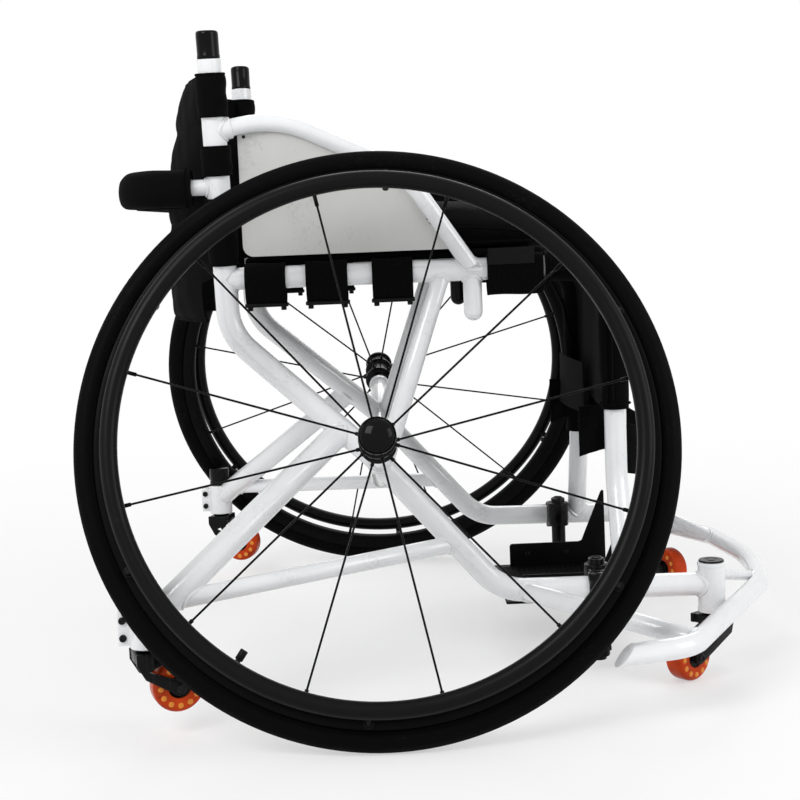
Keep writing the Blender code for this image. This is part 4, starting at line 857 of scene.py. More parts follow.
def guard_route(side):
    corners = (
        point_where(main_route(side), 2, 0.6155),
        at(side, -0.0985, GUARD_Y, 0.6285),
        at(side, 0.0403, GUARD_Y, 0.563),
        at(side, 0.1099, GUARD_Y, 0.4581),
    )
    return rounded_path(corners, (0.120, 0.110))


def bumper_route():
    places = (BUMPER_END, BUMPER_BEND, BUMPER_CORNER)
    right, left = ([at(side, *place) for place in places] for side in (-1, 1))
    corners = [*right, at(1, *BUMPER_FRONT), *reversed(left)]
    return rounded_path(corners, (0.045, 0.045, 0.400, 0.045, 0.045), math.radians(3))


def sling_sag(height):
    share = max(0.0, (height - SLING_LOW) / (SLING_HIGH - SLING_LOW))
    return 0.076 - 0.031 * share**2


def sling_x(y, height):
    post = point_where(main_route(1), 2, max(height, SLING_LOW))
    return post.x - sling_sag(height) * (1 - (y / post.y) ** 2)


def bow_route():
    back = sling_x(0, BOW_HEIGHT) - 0.003 - 0.0003 - 0.0215
    right, left = (point_where(main_route(side), 2, BOW_HEIGHT) for side in (-1, 1))
    corners = (right, Vector((back, right.y, BOW_HEIGHT)), Vector((back, left.y, BOW_HEIGHT)), left)
    return rounded_path(corners, (0.035, 0.035))


def rear_strut_route(side):
    return [point_where(main_route(side), 0, AXLE_X - 0.04), at(side, *REAR_STEM, 0.117)]


def seat_strut_ends(side):
    return point_where(rail_route(side), 0, AXLE_X + 0.078), point_where(main_route(side), 0, AXLE_X + 0.004)


def brace_ends(side):
    front = point_where(main_route(side), 0, AXLE_X + 0.081)
    return front, point_where(rear_strut_route(side), 0, AXLE_X - 0.219)


def wing_ends(side):
    start = point_where(arm_part(main_route(side)), 0, AXLE_X + 0.15)
    return start, at(side, *BUMPER_BEND).lerp(at(side, *BUMPER_CORNER), 0.08)


def link_ends(side):
    """From the front housing to the bumper, near its corner."""
    return at(side, *FRONT_STEM, LINK_HEIGHT), at(side, *BUMPER_CORNER).lerp(at(side, *BUMPER_FRONT), 0.25)


def wheel_matrix(side):
    return Matrix.Translation(AXLE[side]) @ Matrix.Rotation(-side * (math.pi / 2 - CAMBER), 4, "X")


def spot(radius, angle, z=0.0):
    return Vector((radius * math.cos(angle), radius * math.sin(angle), z))


# Drive wheels
RIM_INNER = 0.2664
HUB_FLANGES = (-0.0215, 0.013)
HUB_ENDS = (-0.030, 0.0345)


class AddTyres(bpy.types.Operator):
    """Road tyres with a fine tread on the crown and plain side walls"""

    bl_idname = "chair.add_tyres"
    bl_label = "Drive tyres"

    def execute(self, context):
        sizes = context.scene.chair_sizes
        section = sizes.tyre_section
        centre = sizes.tyre_radius - section
        for name, side in SIDES:
            matrix = wheel_matrix(side)

            def place(u, v):
                around = (v - 0.5) * math.tau
                shoulder = min(1.0, max(0.0, (abs(around) - 0.80) / 0.12))
                reach = section * (1.0 - 0.03 * shoulder)
                across = reach * math.sin(around)
                return matrix @ spot(centre + reach * math.cos(around), u * math.tau, across)

            size = (math.tau * sizes.tyre_radius, math.tau * section)
            obj = grid(f"{name}_road_tyre", 192, 40, place, "tyre_rubber", size, wrap=True)
            for loop in obj.data.uv_layers.active.data:
                loop.uv[1] -= size[1] / 2
            mount(obj, f"{name}_wheel", "drive_tyre", f"{name}_tyre")
        return {"FINISHED"}


class AddRims(bpy.types.Operator):
    """Hollow black rims with hooked edges, spoke seats and a valve"""

    bl_idname = "chair.add_rims"
    bl_label = "Drive rims"

    def execute(self, context):
        profile = [
            (0.2792, 0.0), (0.2800, -0.0060), (0.2826, -0.0080), (0.2832, -0.0090), (0.2830, -0.0100),
            (0.2820, -0.0104), (0.2790, -0.0103), (0.2742, -0.0101), (0.2722, -0.0096), (0.2690, -0.0072),
            (0.2672, -0.0050), (0.2665, -0.0030), (0.2663, 0.0),
        ]
        profile = mirrored(profile)
        angle = math.radians(-124.5)
        for name, side in SIDES:
            matrix = wheel_matrix(side)
            pieces = [turned("rim", profile, "rim_black", 192, matrix)]
            foot = matrix @ spot(RIM_INNER + 0.001, angle)
            tip = matrix @ spot(RIM_INNER - 0.011, angle)
            end = matrix @ spot(RIM_INNER - 0.0225, angle)
            pieces.append(bar("stem", foot, tip, 0.0028, "bolt_black", 0.0003, 24))
            pieces.append(bar("cap", tip, end, 0.0041, "buckle_black", 0.0010, 24))
            nut = matrix @ spot(RIM_INNER - 0.0025, angle)
            pieces.append(bar("nut", foot, nut, 0.0050, "bolt_black", 0.0004, 6))
            mount(joined(f"{name}_hollow_rim", pieces), f"{name}_wheel", "wheel_rim", f"{name}_rim")
        return {"FINISHED"}


class AddHandrims(bpy.types.Operator):
    """Round handrims on six welded brackets, each with its bolt"""

    bl_idname = "chair.add_handrims"
    bl_label = "Handrims"

    def execute(self, context):
        sizes = context.scene.chair_sizes
        profile = ring_profile((sizes.handrim_radius, sizes.handrim_offset), sizes.handrim_tube, 28)
        for name, side in SIDES:
            matrix = wheel_matrix(side)
            pieces = [turned("hoop", profile, "handrim_black", 192, matrix, math.radians(60))]
            for index in range(6):
                angle = math.radians(-34) + math.tau * index / 6
                foot_radius = RIM_INNER + 0.0103
                points = [
                    spot(foot_radius, angle, 0.0105),
                    spot(foot_radius, angle, 0.0170),
                    spot(sizes.handrim_radius, angle, sizes.handrim_offset - 0.004),
                ]
                path = [matrix @ point for point in rounded_path(points, (0.004,), math.radians(12))]
                pieces.append(tube("bracket", path, 0.0038, "handrim_black", 16))
                plinth = matrix @ spot(foot_radius, angle, 0.0125)
                pieces.append(bar("foot", matrix @ points[0], plinth, 0.0055, "handrim_black", 0.0004, 24))
                inward = (matrix.to_3x3() @ spot(1, angle)).normalized() * -1
                seat = matrix @ spot(RIM_INNER + 0.0004, angle)
                pieces.append(screw("bolt", seat, inward, 0.0034, "bolt_black", 0.0038))
            mount(joined(f"{name}_push_rim", pieces), f"{name}_wheel", "handrim", f"{name}_handrim")
        return {"FINISHED"}


class AddHubs(bpy.types.Operator):
    """Hubs with two spoke flanges, and straight spokes with their nipples"""

    bl_idname = "chair.add_hubs"
    bl_label = "Hubs and spokes"

    def execute(self, context):
        count = context.scene.chair_sizes.spoke_count
        bore, low, high = 0.0063, *HUB_ENDS
        barrel, flange = 0.0165, 0.0195
        profile = [(bore, low), (0.0125, low), (0.0135, low + 0.0010), (0.0137, low + 0.0040)]
        for middle in HUB_FLANGES:
            profile += [(barrel - 0.0012, middle - 0.0036), (flange - 0.0008, middle - 0.0024)]
            profile += [(flange, middle - 0.0014), (flange, middle + 0.0014)]
            profile += [(flange - 0.0008, middle + 0.0024), (barrel - 0.0012, middle + 0.0036)]
            if middle < 0:
                profile += [(0.0138, middle + 0.0075), (0.0134, middle + 0.0170), (0.0138, middle + 0.0265)]
        profile += [(0.0152, high - 0.0120), (0.0160, high - 0.0110), (0.0160, high - 0.0080)]
        profile += [(0.0153, high - 0.0074), (0.0153, high - 0.0062), (0.0160, high - 0.0056)]
        profile += [(0.0160, high - 0.0008), (0.0152, high), (bore, high), (bore, low)]
        for name, side in SIDES:
            matrix = wheel_matrix(side)
            pieces = [turned("hub", profile, "hub_black", 72, matrix)]
            for index in range(count):
                angle = math.radians(12) + math.tau * index / count
                root = spot(flange - 0.0030, angle, HUB_FLANGES[index % 2])
                end = spot(RIM_INNER - 0.0003, angle)
                seat = end + (root - end).normalized() * 0.0125
                pieces.append(bar("spoke", matrix @ root, matrix @ seat, 0.00115, "spoke_black", 0.0002, 10))
                pieces.append(bar("nipple", matrix @ seat, matrix @ end, 0.0021, "spoke_black", 0.0004, 12))
                head = root + (end - root).normalized() * 0.0065
                pieces.append(bar("head", matrix @ root, matrix @ head, 0.0020, "spoke_black", 0.0005, 12))
            hub = joined(f"{name}_spoked_hub", pieces)
            mount(hub, f"{name}_wheel", "wheel_hub", f"{name}_hub_and_spokes")
        return {"FINISHED"}


class AddAxles(bpy.types.Operator):
    """Quick-release axles with a smooth domed head"""

    bl_idname = "chair.add_axles"
    bl_label = "Axles"

    def execute(self, context):
        face = HUB_ENDS[1] + 0.0003
        rise, crown = 0.0079, 0.0172
        rim = (
            (0.0, 0.0), (0.0178, 0.0), (0.0188, 0.0006), (0.0190, 0.0016), (0.0190, 0.0040),
            (0.0186, 0.0048), (0.0180, 0.0050), (0.0176, 0.0046), (crown, 0.0050),
        )
        dome = [(r, face + z) for r, z in rim]
        for step in range(1, 15):
            angle = math.pi / 2 * step / 14
            dome.append((crown * math.cos(angle), face + 0.0050 + rise * math.sin(angle)))
        for name, side in SIDES:
            matrix = wheel_matrix(side)
            pieces = [turned("dome", dome, "gloss_black", 72, matrix)]
            for low, high, radius in ((-0.0360, -0.0303, 0.0095), (-0.078, 0.035, 0.006)):
                pieces.append(bar("pin", matrix @ (UP * low), matrix @ (UP * high), radius, "bolt_steel"))
            mount(joined(f"{name}_quick_axle", pieces), "frame", "axle_cap", f"{name}_axle")
        return {"FINISHED"}


# Frame
class AddSideTubes(bpy.types.Operator):
    """The bent side tubes, seat rails, struts and braces, in white paint"""

    bl_idname = "chair.add_side_tubes"
    bl_label = "Side tubes"

    def execute(self, context):
        sizes = context.scene.chair_sizes
        main, rail = sizes.tube_radius, sizes.rail_radius
        for name, side in SIDES:
            route, seat = main_route(side), rail_route(side)
            socket_end = AXLE[side] - axle_way(side) * 0.0363
            pieces = [tube("post", route, main, "frame_paint", 40)]
            pieces.append(bar("stub", crossing(side), socket_end, STUB_RADIUS, "frame_paint", 0.0010))
            collar_start = socket_end - axle_way(side) * 0.009
            pieces.append(bar("collar", collar_start, socket_end, 0.0142, "frame_paint", 0.0012))
            mount(joined(f"{name}_side_tube", pieces), "frame", "white_paint", f"{name}_main_tube")
            peg_top = point_where(seat, 0, AXLE_X + PEG_X)
            angles = [math.pi / 2 * step / 10 for step in range(11)]
            profile = [(PEG_RADIUS * math.sin(a), PEG_RADIUS * (1 - math.cos(a))) for a in angles]
            profile += [(PEG_RADIUS, peg_top.z - PEG_BOTTOM), (0, peg_top.z - PEG_BOTTOM)]
            foot = Matrix.Translation((peg_top.x, peg_top.y, PEG_BOTTOM))
            # The left peg, on the far side, takes the gloss black as painted shade where it stands in shadow;
            # the right peg keeps the white paint.
            peg = turned("peg", profile, "frame_paint" if side < 0 else "gloss_black", 56, foot)
            rail_tube = tube("rail", seat, rail, "frame_paint", 40)
            mount(joined(f"{name}_seat_tube", [rail_tube, peg]), "frame", "white_paint", f"{name}_seat_rail")
            for piece, ends, radius, node in (
                ("seat_strut", seat_strut_ends(side), SEAT_STRUT_RADIUS, "front_stay"),
                ("brace_tube", brace_ends(side), BRACE_RADIUS, "brace"),
                ("wing_strut", wing_ends(side), WING_RADIUS, "wing_tube"),
            ):
                strut = bar(f"{name}_{piece}", *ends, radius, "frame_paint")
                mount(strut, "frame", "white_paint", f"{name}_{node}")
        ends = [crossing(side) for side in (-1, 1)]
        bends = [at(side, 0, CAMBER_BEND_Y, axle_line_height(CAMBER_BEND_Y)) for side in (-1, 1)]
        path = rounded_path((ends[0], *bends, ends[1]), (0.060, 0.060))
        cross = tube("axle_cross_tube", path, STUB_RADIUS, "frame_paint", 40)
        mount(cross, "frame", "white_paint", "camber_tube")
        bow = tube("back_bow_tube", bow_route(), BOW_RADIUS, "frame_paint", 32)
        mount(bow, "frame", "white_paint", "back_bow")
        return {"FINISHED"}


class AddBumper(bpy.types.Operator):
    """The round bumper with its slanted, closed ends"""

    bl_idname = "chair.add_bumper"
    bl_label = "Bumper"

    def execute(self, context):
        radius = context.scene.chair_sizes.bumper_radius
        route = bumper_route()
        obj = tube("bumper_tube", route, radius, "frame_paint", 40)
        for end, before in ((route[0], route[1]), (route[-1], route[-2])):
            outward = (end - before).normalized()
            edit_all(obj)
            foot = end - UP * radius
            slant = outward + UP * 0.9
            bpy.ops.mesh.bisect(plane_co=foot, plane_no=slant, use_fill=True, clear_outer=True)
            bpy.ops.object.mode_set(mode="OBJECT")
        recalculate(obj)
        smooth(obj, math.radians(50))
        mount(obj, "frame", "white_paint", "front_bumper")
        return {"FINISHED"}


class AddWelds(bpy.types.Operator):
    """Rippled weld beads where the frame's tubes meet"""

    bl_idname = "chair.add_welds"
    bl_label = "Weld beads"

    def execute(self, context):
        sizes = context.scene.chair_sizes
        main, rail = sizes.tube_radius, sizes.rail_radius
        for name, side in SIDES:
            route, seat, strut = main_route(side), rail_route(side), rear_strut_route(side)
            guard, arm = guard_route(side), arm_part(route)
            beads = []

            def bead(start, toward, radius, path, other_radius):
                """A bead at the start of a bar that runs toward a point, on the tube that the path gives."""
                near = min(range(1, len(path)), key=lambda i: ((path[i - 1] + path[i]) / 2 - start).length)
                way = (path[near] - path[near - 1]).normalized()
                beads.append(weld(start, toward - start, radius, path[near], way, other_radius))

            bead(seat[0], seat[1], rail, route, main)
            bead(seat[-1], seat[-2], rail, arm, main)
            top, foot = seat_strut_ends(side)
            bead(top, foot, SEAT_STRUT_RADIUS, seat[:2], rail)
            bead(foot, top, SEAT_STRUT_RADIUS, route, main)
            bead(strut[0], strut[1], REAR_STRUT_RADIUS, route, main)
            front, rear = brace_ends(side)
            bead(front, rear, BRACE_RADIUS, route, main)
            bead(rear, front, BRACE_RADIUS, strut, REAR_STRUT_RADIUS)
            start, end = wing_ends(side)
            places = (BUMPER_BEND, BUMPER_CORNER, BUMPER_FRONT)
            side_bend, corner, middle = (at(side, *place) for place in places)
            bead(start, end, WING_RADIUS, arm, main)
            bead(end, start, WING_RADIUS, [side_bend, corner], sizes.bumper_radius)
            bead(crossing(side), AXLE[side], STUB_RADIUS, route, main)
            bead(crossing(side), crossing(side) - axle_way(side), STUB_RADIUS, route, main)
            bead(guard[0], guard[1], SOCKET_RADIUS, route, main)
            bead(guard[-1], guard[-2], sizes.guard_radius, seat[:2], rail)
            peg = point_where(seat, 0, AXLE_X + PEG_X)
            bead(peg, peg - UP * 0.05, PEG_RADIUS, seat[:2], rail)
            bow = bow_route()[::side * -1]
            bead(bow[0], bow[1], BOW_RADIUS, route, main)
            stem = at(side, *FRONT_STEM, ARM_HEIGHT)
            housing = [stem, stem + UP * 0.02]
            bead(stem, arm[-2], main, housing, HOUSING_RADIUS)
            link, landing = link_ends(side)
            bead(link, landing, LINK_RADIUS, housing, HOUSING_RADIUS)
            bead(landing, link, LINK_RADIUS, [corner, middle], sizes.bumper_radius)
            mount(joined(f"{name}_weld_beads", beads), "frame", "white_paint")
        return {"FINISHED"}


class AddStruts(bpy.types.Operator):
    """Rear struts with their split clamps and pinch bolts, and the front caster housings"""

    bl_idname = "chair.add_struts"
    bl_label = "Rear clamps and front housings"

    def execute(self, context):
        for name, side in SIDES:
            low, high = at(side, *REAR_STEM, 0.095), at(side, *REAR_STEM, 0.137)
            ring = [(0.0120, 0), (0.0152, 0), (0.0160, 0.0006), (0.0162, 0.0016), (0.0162, 0.0404)]
            ring += [(0.0160, 0.0414), (0.0152, 0.042), (0.0120, 0.042), (0.0120, 0)]
            start, end = rear_strut_route(side)
            pieces = [bar("strut", start, end, REAR_STRUT_RADIUS, "frame_paint")]
            pieces.append(turned("clamp", ring, "frame_paint", 64, Matrix.Translation(low)))
            for inner, outer in ((-0.0085, -0.001), (0.001, 0.0085)):
                ear_low = low + Vector((-0.027, inner, 0.004))
                ear_high = high + Vector((-0.0125, outer, -0.004))
                pieces.append(block("ear", ear_low, ear_high, "frame_paint", 0.0012))
            for height in (0.107, 0.125):
                head = at(side, REAR_STEM[0] - 0.0215, REAR_STEM[1], height)
                shift = Vector((0, 0.0085, 0))
                nut_end = head + shift + Vector((0, 0.0030, 0))
                pieces.append(screw("bolt", head - shift, Vector((0, -1, 0)), 0.0038, "bolt_black", 0.0030))
                pieces.append(bar("nut", head + shift, nut_end, 0.0038, "bolt_black", 0.0004, 6))
                pieces.append(bar("shank", head - shift, head + shift, 0.0018, "bolt_steel", 0.0003, 16))
            mount(joined(f"{name}_rear_strut", pieces), "frame", "white_paint", f"{name}_rear_stay")
            body = [(0.0066, 0), (0.0146, 0), (0.0153, 0.0005), (0.0155, 0.0014), (0.0155, 0.0040)]
            body += [(0.0149, 0.0044), (0.0149, 0.0516), (0.0155, 0.0520), (0.0155, 0.0546), (0.0153, 0.0555)]
            body += [(0.0146, 0.056), (0.0066, 0.056), (0.0066, 0)]
            shell = turned("shell", body, "frame_paint", 64, Matrix.Translation(at(side, *FRONT_STEM, 0.068)))
            link = bar("link", *link_ends(side), LINK_RADIUS, "frame_paint", 0.0004, 28)
            housing = joined(f"{name}_stem_housing", [shell, link])
            mount(housing, "frame", "white_paint", f"{name}_caster_housing")
        return {"FINISHED"}


class AddPostCaps(bpy.types.Operator):
    """Black plugs in the tops of the back posts, and sleeves over the rear caster stems"""

    bl_idname = "chair.add_post_caps"
    bl_label = "Post caps and stem sleeves"

    def execute(self, context):
        plug = [(0, 0.0003), (0.0122, 0.0003), (0.0124, 0.0008), (0.0124, 0.0040), (0.0121, 0.0046)]
        plug += [(0.0122, 0.0250), (0.0120, 0.0280), (0.0112, 0.0294), (0.0098, 0.0300), (0, 0.0300)]
        sleeve = [(0, 0.0924), (0.0108, 0.0924), (0.0115, 0.0932), (0.0115, 0.1373), (0.0139, 0.1374)]
        sleeve += [(0.0145, 0.1382), (0.0145, 0.1420), (0.0140, 0.1426), (0.0140, 0.1446), (0.0145, 0.1452)]
        sleeve += [(0.0145, 0.1600), (0.0140, 0.1618), (0.0124, 0.1628), (0, 0.163)]
        for name, side in SIDES:
            route = main_route(side)
            top = aimed(route[0], (route[0] - route[1]).normalized())
            cap = turned(f"{name}_post_plug", plug, "gloss_black", 56, top)
            mount(cap, "frame", "post_cap", f"{name}_post_cap")
            stem = Matrix.Translation(at(side, *REAR_STEM, 0))
            cover = turned(f"{name}_stem_cover", sleeve, "fork_black", 56, stem)
            mount(cover, "frame", "stem_sleeve", f"{name}_rear_stem_sleeve")
        return {"FINISHED"}


class AddGuards(bpy.types.Operator):
    """Side guards: a bent white tube with its socket, and a grey panel with its screws"""

    bl_idname = "chair.add_guards"
    bl_label = "Side guards"

    def execute(self, context):
        radius = context.scene.chair_sizes.guard_radius
        for name, side in SIDES:
            path = guard_route(side)
            way = (path[1] - path[0]).normalized()
            pieces = [tube("guard", path, radius, "frame_paint", 36)]
            pieces.append(bar("socket", path[0], path[0] + way * 0.019, SOCKET_RADIUS, "frame_paint", 0.0012))
            mount(joined(f"{name}_guard_bow", pieces), "frame", "white_paint", f"{name}_guard_tube")
            under = []
            for before, point, after in zip([path[0], *path], path, [*path[1:], path[-1]]):
                tangent = (after - before).normalized()
                under.append(point + Vector((tangent.z, 0, -tangent.x)) * (radius - 0.001))
            rear_x, bottom, corner = -0.1405, 0.4785, 0.012
            rear = point_where(under, 0, AXLE_X + rear_x)
            low = point_where(under[len(under) // 2:], 2, bottom)
            outline = [Vector((p.x, side * GUARD_Y, p.z)) for p in stretch_of(under, rear, low)]
            for step in range(9):
                angle = math.radians(-90 - 90 * step / 8)
                x = rear_x + corner + corner * math.cos(angle)
                outline.append(at(side, x, GUARD_Y, bottom + corner + corner * math.sin(angle)))
            pieces = [plate("panel", outline, 0.0025, "guard_paint", 0.0005)]
            outward = Vector((0, side, 0))
            for x, z in ((-0.1335, 0.609), (0.0640, 0.5125), (0.0672, 0.5080)):
                for face in (-1, 1):
                    seat = at(side, x, GUARD_Y, z) + outward * (face * 0.00125)
                    pieces.append(screw("rivet", seat, outward * face, 0.0019, "bolt_black", 0.0008))
            mount(joined(f"{name}_guard_panel", pieces), "frame", "side_guard", f"{name}_side_guard")
        return {"FINISHED"}


# Casters
# Crown top and thickness, half length, arm width, shoulder's back and drop, stem's top and radius
FORKS = {
    "front": (0.0655, 0.010, 0.0155, 0.012, 0.0155, 0.006, 0.1242, 0.006),
    "rear": (0.092, 0.0115, 0.0145, 0.0085, 0.0085, 0.0115, 0.147, 0.005),
}
FORK_SIDE_Y = 0.0180


def caster_place(name, end):
    """Trail, hub height and the matrix that stands at the stem, with X along the trail."""
    swivel = Vector(JOINTS[f"{name}_{end}_swivel"]["pos_m"])
    hub = Vector(JOINTS[f"{name}_{end}_wheel"]["pos_m"])
    yaw = math.atan2(hub.y - swivel.y, hub.x - swivel.x)
    trail = math.hypot(hub.x - swivel.x, hub.y - swivel.y)
    matrix = Matrix.Translation((swivel.x, swivel.y, 0)) @ Matrix.Rotation(yaw, 4, "Z")
    return trail, hub.z, matrix


def arm_outline(trail, height, crown_top, bottom, reach, width, shoulder):
    """The side view of a fork's arm, from the crown to the round end at the axle."""
    hub = Vector((trail, height))
    along = (hub - shoulder).normalized()
    across = Vector((-along.y, along.x)) * width / 2
    slope = math.atan2(along.y, along.x)
    outline = [(-reach, crown_top), (reach, crown_top), (reach, bottom), tuple(shoulder + across)]
    for step in range(13):
        angle = slope + math.pi / 2 - math.pi * step / 12
        outline.append((hub.x + 0.0075 * math.cos(angle), hub.y + 0.0075 * math.sin(angle)))
    return [*outline, tuple(shoulder - across), (-reach, bottom)]


class AddForks(bpy.types.Operator):
    """Caster forks: two arms, a crown, a stem and an axle bolt"""

    bl_idname = "chair.add_forks"
    bl_label = "Caster forks"

    def execute(self, context):
        collar = [(0, 0.0650), (0.0096, 0.0650), (0.0100, 0.0656), (0.0100, 0.0664)]
        collar += [(0.0096, 0.0676), (0, 0.0676)]
        cap = [(0, 0.1243), (0.0138, 0.1243), (0.0140, 0.1247), (0.0140, 0.1254), (0.0134, 0.1262)]
        cap += [(0.0080, 0.1263), (0.0076, 0.1259), (0.0050, 0.1259), (0.0046, 0.1263), (0, 0.1264)]
        for name, _ in SIDES:
            for end in FORKS:
                trail, height, matrix = caster_place(name, end)
                crown_top, thick, reach, width, back, drop, stem_top, stem_radius = FORKS[end]
                bottom = crown_top - thick
                shoulder = Vector((width / 2 - back, bottom - drop))
                outline = arm_outline(trail, height, crown_top, bottom, reach, width, shoulder)
                pieces = []
                for face in (-1, 1):
                    points = [Vector((x, face * 0.01575, z)) for x, z in outline]
                    pieces.append(plate("arm", points, 0.0045, "fork_black", 0.0008, matrix))
                    seat = matrix @ Vector((trail, face * FORK_SIDE_Y, height))
                    outward = (matrix.to_3x3() @ Vector((0, face, 0))).normalized()
                    head = seat + outward * 0.0006
                    pieces.append(bar("washer", seat, head, 0.0052, "bolt_black", 0.0002, 32))
                    pieces.append(screw("bolt", head, outward, 0.0042, "bolt_black", 0.0020))
                low, high = (-reach + 0.0005, -0.0165, bottom), (reach - 0.0005, 0.0165, crown_top)
                pieces.append(block("crown", low, high, "fork_black", 0.0016, matrix))
                foot, top = matrix @ (UP * (crown_top - thick / 2)), matrix @ (UP * stem_top)
                pieces.append(bar("stem", foot, top, stem_radius, "bolt_black"))
                pin = [matrix @ Vector((trail, y, height)) for y in (-FORK_SIDE_Y, FORK_SIDE_Y)]
                pieces.append(bar("pin", *pin, 0.003, "bolt_black", 0.0003, 20))
                if end == "front":
                    pieces.append(turned("collar", collar, "bolt_black", 48, matrix))
                    pieces.append(turned("cap", cap, "gloss_black", 48, matrix))
                obj = joined(f"{name}_{end}_caster_fork", pieces)
                mount(obj, f"{name}_{end}_swivel", "caster_fork", f"{name}_{end}_fork")
        return {"FINISHED"}


def facing(middle, face):
    """The matrix of something on the wheel's side: turned over on the inner one."""
    return Matrix.Translation(middle) @ Matrix.Rotation(0 if face > 0 else math.pi, 4, "X")


class AddCasterWheels(bpy.types.Operator):
    """Casters: a see-through orange tyre with pale dots on a black core with bearings"""

    bl_idname = "chair.add_caster_wheels"
    bl_label = "Caster wheels"

    def execute(self, context):
        radius = context.scene.chair_sizes.caster_radius
        half, rounding = 0.012, 0.0058
        tread = [(0.0118, 0), (0.0118, -half + 0.0008), (0.0122, -half + 0.0003), (0.0190, -half + 0.0003)]
        for step in range(9):
            angle = math.radians(-90 + 90 * step / 8)
            tread_z = -half + 0.0061 + rounding * math.sin(angle)
            tread.append((radius - rounding + rounding * math.cos(angle), tread_z))
        tread = mirrored([*tread, (radius, 0)])
        dot = [(0, -0.0006), (0.0029, -0.0006), (0.0030, 0.0001), (0.0026, 0.0006)]
        dot += [(0.0014, 0.0009), (0, 0.0010)]
        core = [(0.0033, -0.0132), (0.0066, -0.0132), (0.0069, -0.0128), (0.0072, -0.0116), (0.0098, -0.0110)]
        core += [(0.0102, -0.0117), (0.0112, -0.0119), (0.0115, -0.0116), (0.0117, -0.0110), (0.0117, 0)]
        core = [*mirrored(core), core[0]]
        shield = [(0.0034, 0), (0.0060, 0), (0.0063, 0.0002), (0.0063, 0.0006), (0.0034, 0.0006), (0.0034, 0)]
        for name, _ in SIDES:
            for end in FORKS:
                trail, height, place = caster_place(name, end)
                matrix = place @ Matrix.Translation((trail, 0, height)) @ Matrix.Rotation(math.pi / 2, 4, "X")
                body = f"{name}_{end}_wheel"
                tyre = [turned("tread", tread, "caster_orange", 96, matrix)]
                for index in range(12):
                    for face in (-1, 1):
                        middle = spot(0.0196, math.tau * index / 12, face * (half - 0.0004))
                        tyre.append(turned("dot", dot, "caster_dot", 20, matrix @ facing(middle, face)))
                mount(joined(f"{name}_{end}_caster_tyre", tyre), body, "caster_tyre", f"{name}_{end}_tyre")
                pieces = [turned("core", core, "gloss_black", 64, matrix)]
                for face in (-1, 1):
                    turn = facing((0, 0, face * 0.0130), face)
                    pieces.append(turned("shield", shield, "bolt_black", 40, matrix @ turn))
                mount(joined(f"{name}_{end}_caster_core", pieces), body, "caster_core", f"{name}_{end}_core")
        return {"FINISHED"}


# Soft pieces
COVER_VOXEL = 0.005
COVER_PRESSURE = 4.0
COVER_FRAMES = 20


def swelled(obj, cap):
    """Pads the closed form out as a stuffed cover: remesh, cloth under pressure, and a cap on its swell."""
    mesh = obj.modifiers.new("Even", "REMESH")
    mesh.mode = "VOXEL"
    mesh.voxel_size = COVER_VOXEL
    apply_modifiers(obj)
    rest = [vertex.co.copy() for vertex in obj.data.vertices]
    cloth = obj.modifiers.new("Cover", "CLOTH")
    cloth.settings.quality = 6
    cloth.settings.use_pressure = True
    cloth.settings.uniform_pressure_force = COVER_PRESSURE
    cloth.settings.effector_weights.gravity = 0.0
    cloth.point_cache.frame_start, cloth.point_cache.frame_end = 1, COVER_FRAMES
    for number in range(1, COVER_FRAMES + 1):
        bpy.context.scene.frame_set(number)
    apply_modifiers(obj)
    for vertex, start in zip(obj.data.vertices, rest):
        move = vertex.co - start
        if move.length > cap:
            vertex.co = start + move * (cap / move.length)


def seam(name, path, radius, material="thread", closed=False):
    """A cord of piping or thread laid along a path."""
    return tube(name, path, radius, material, 10, closed=closed)


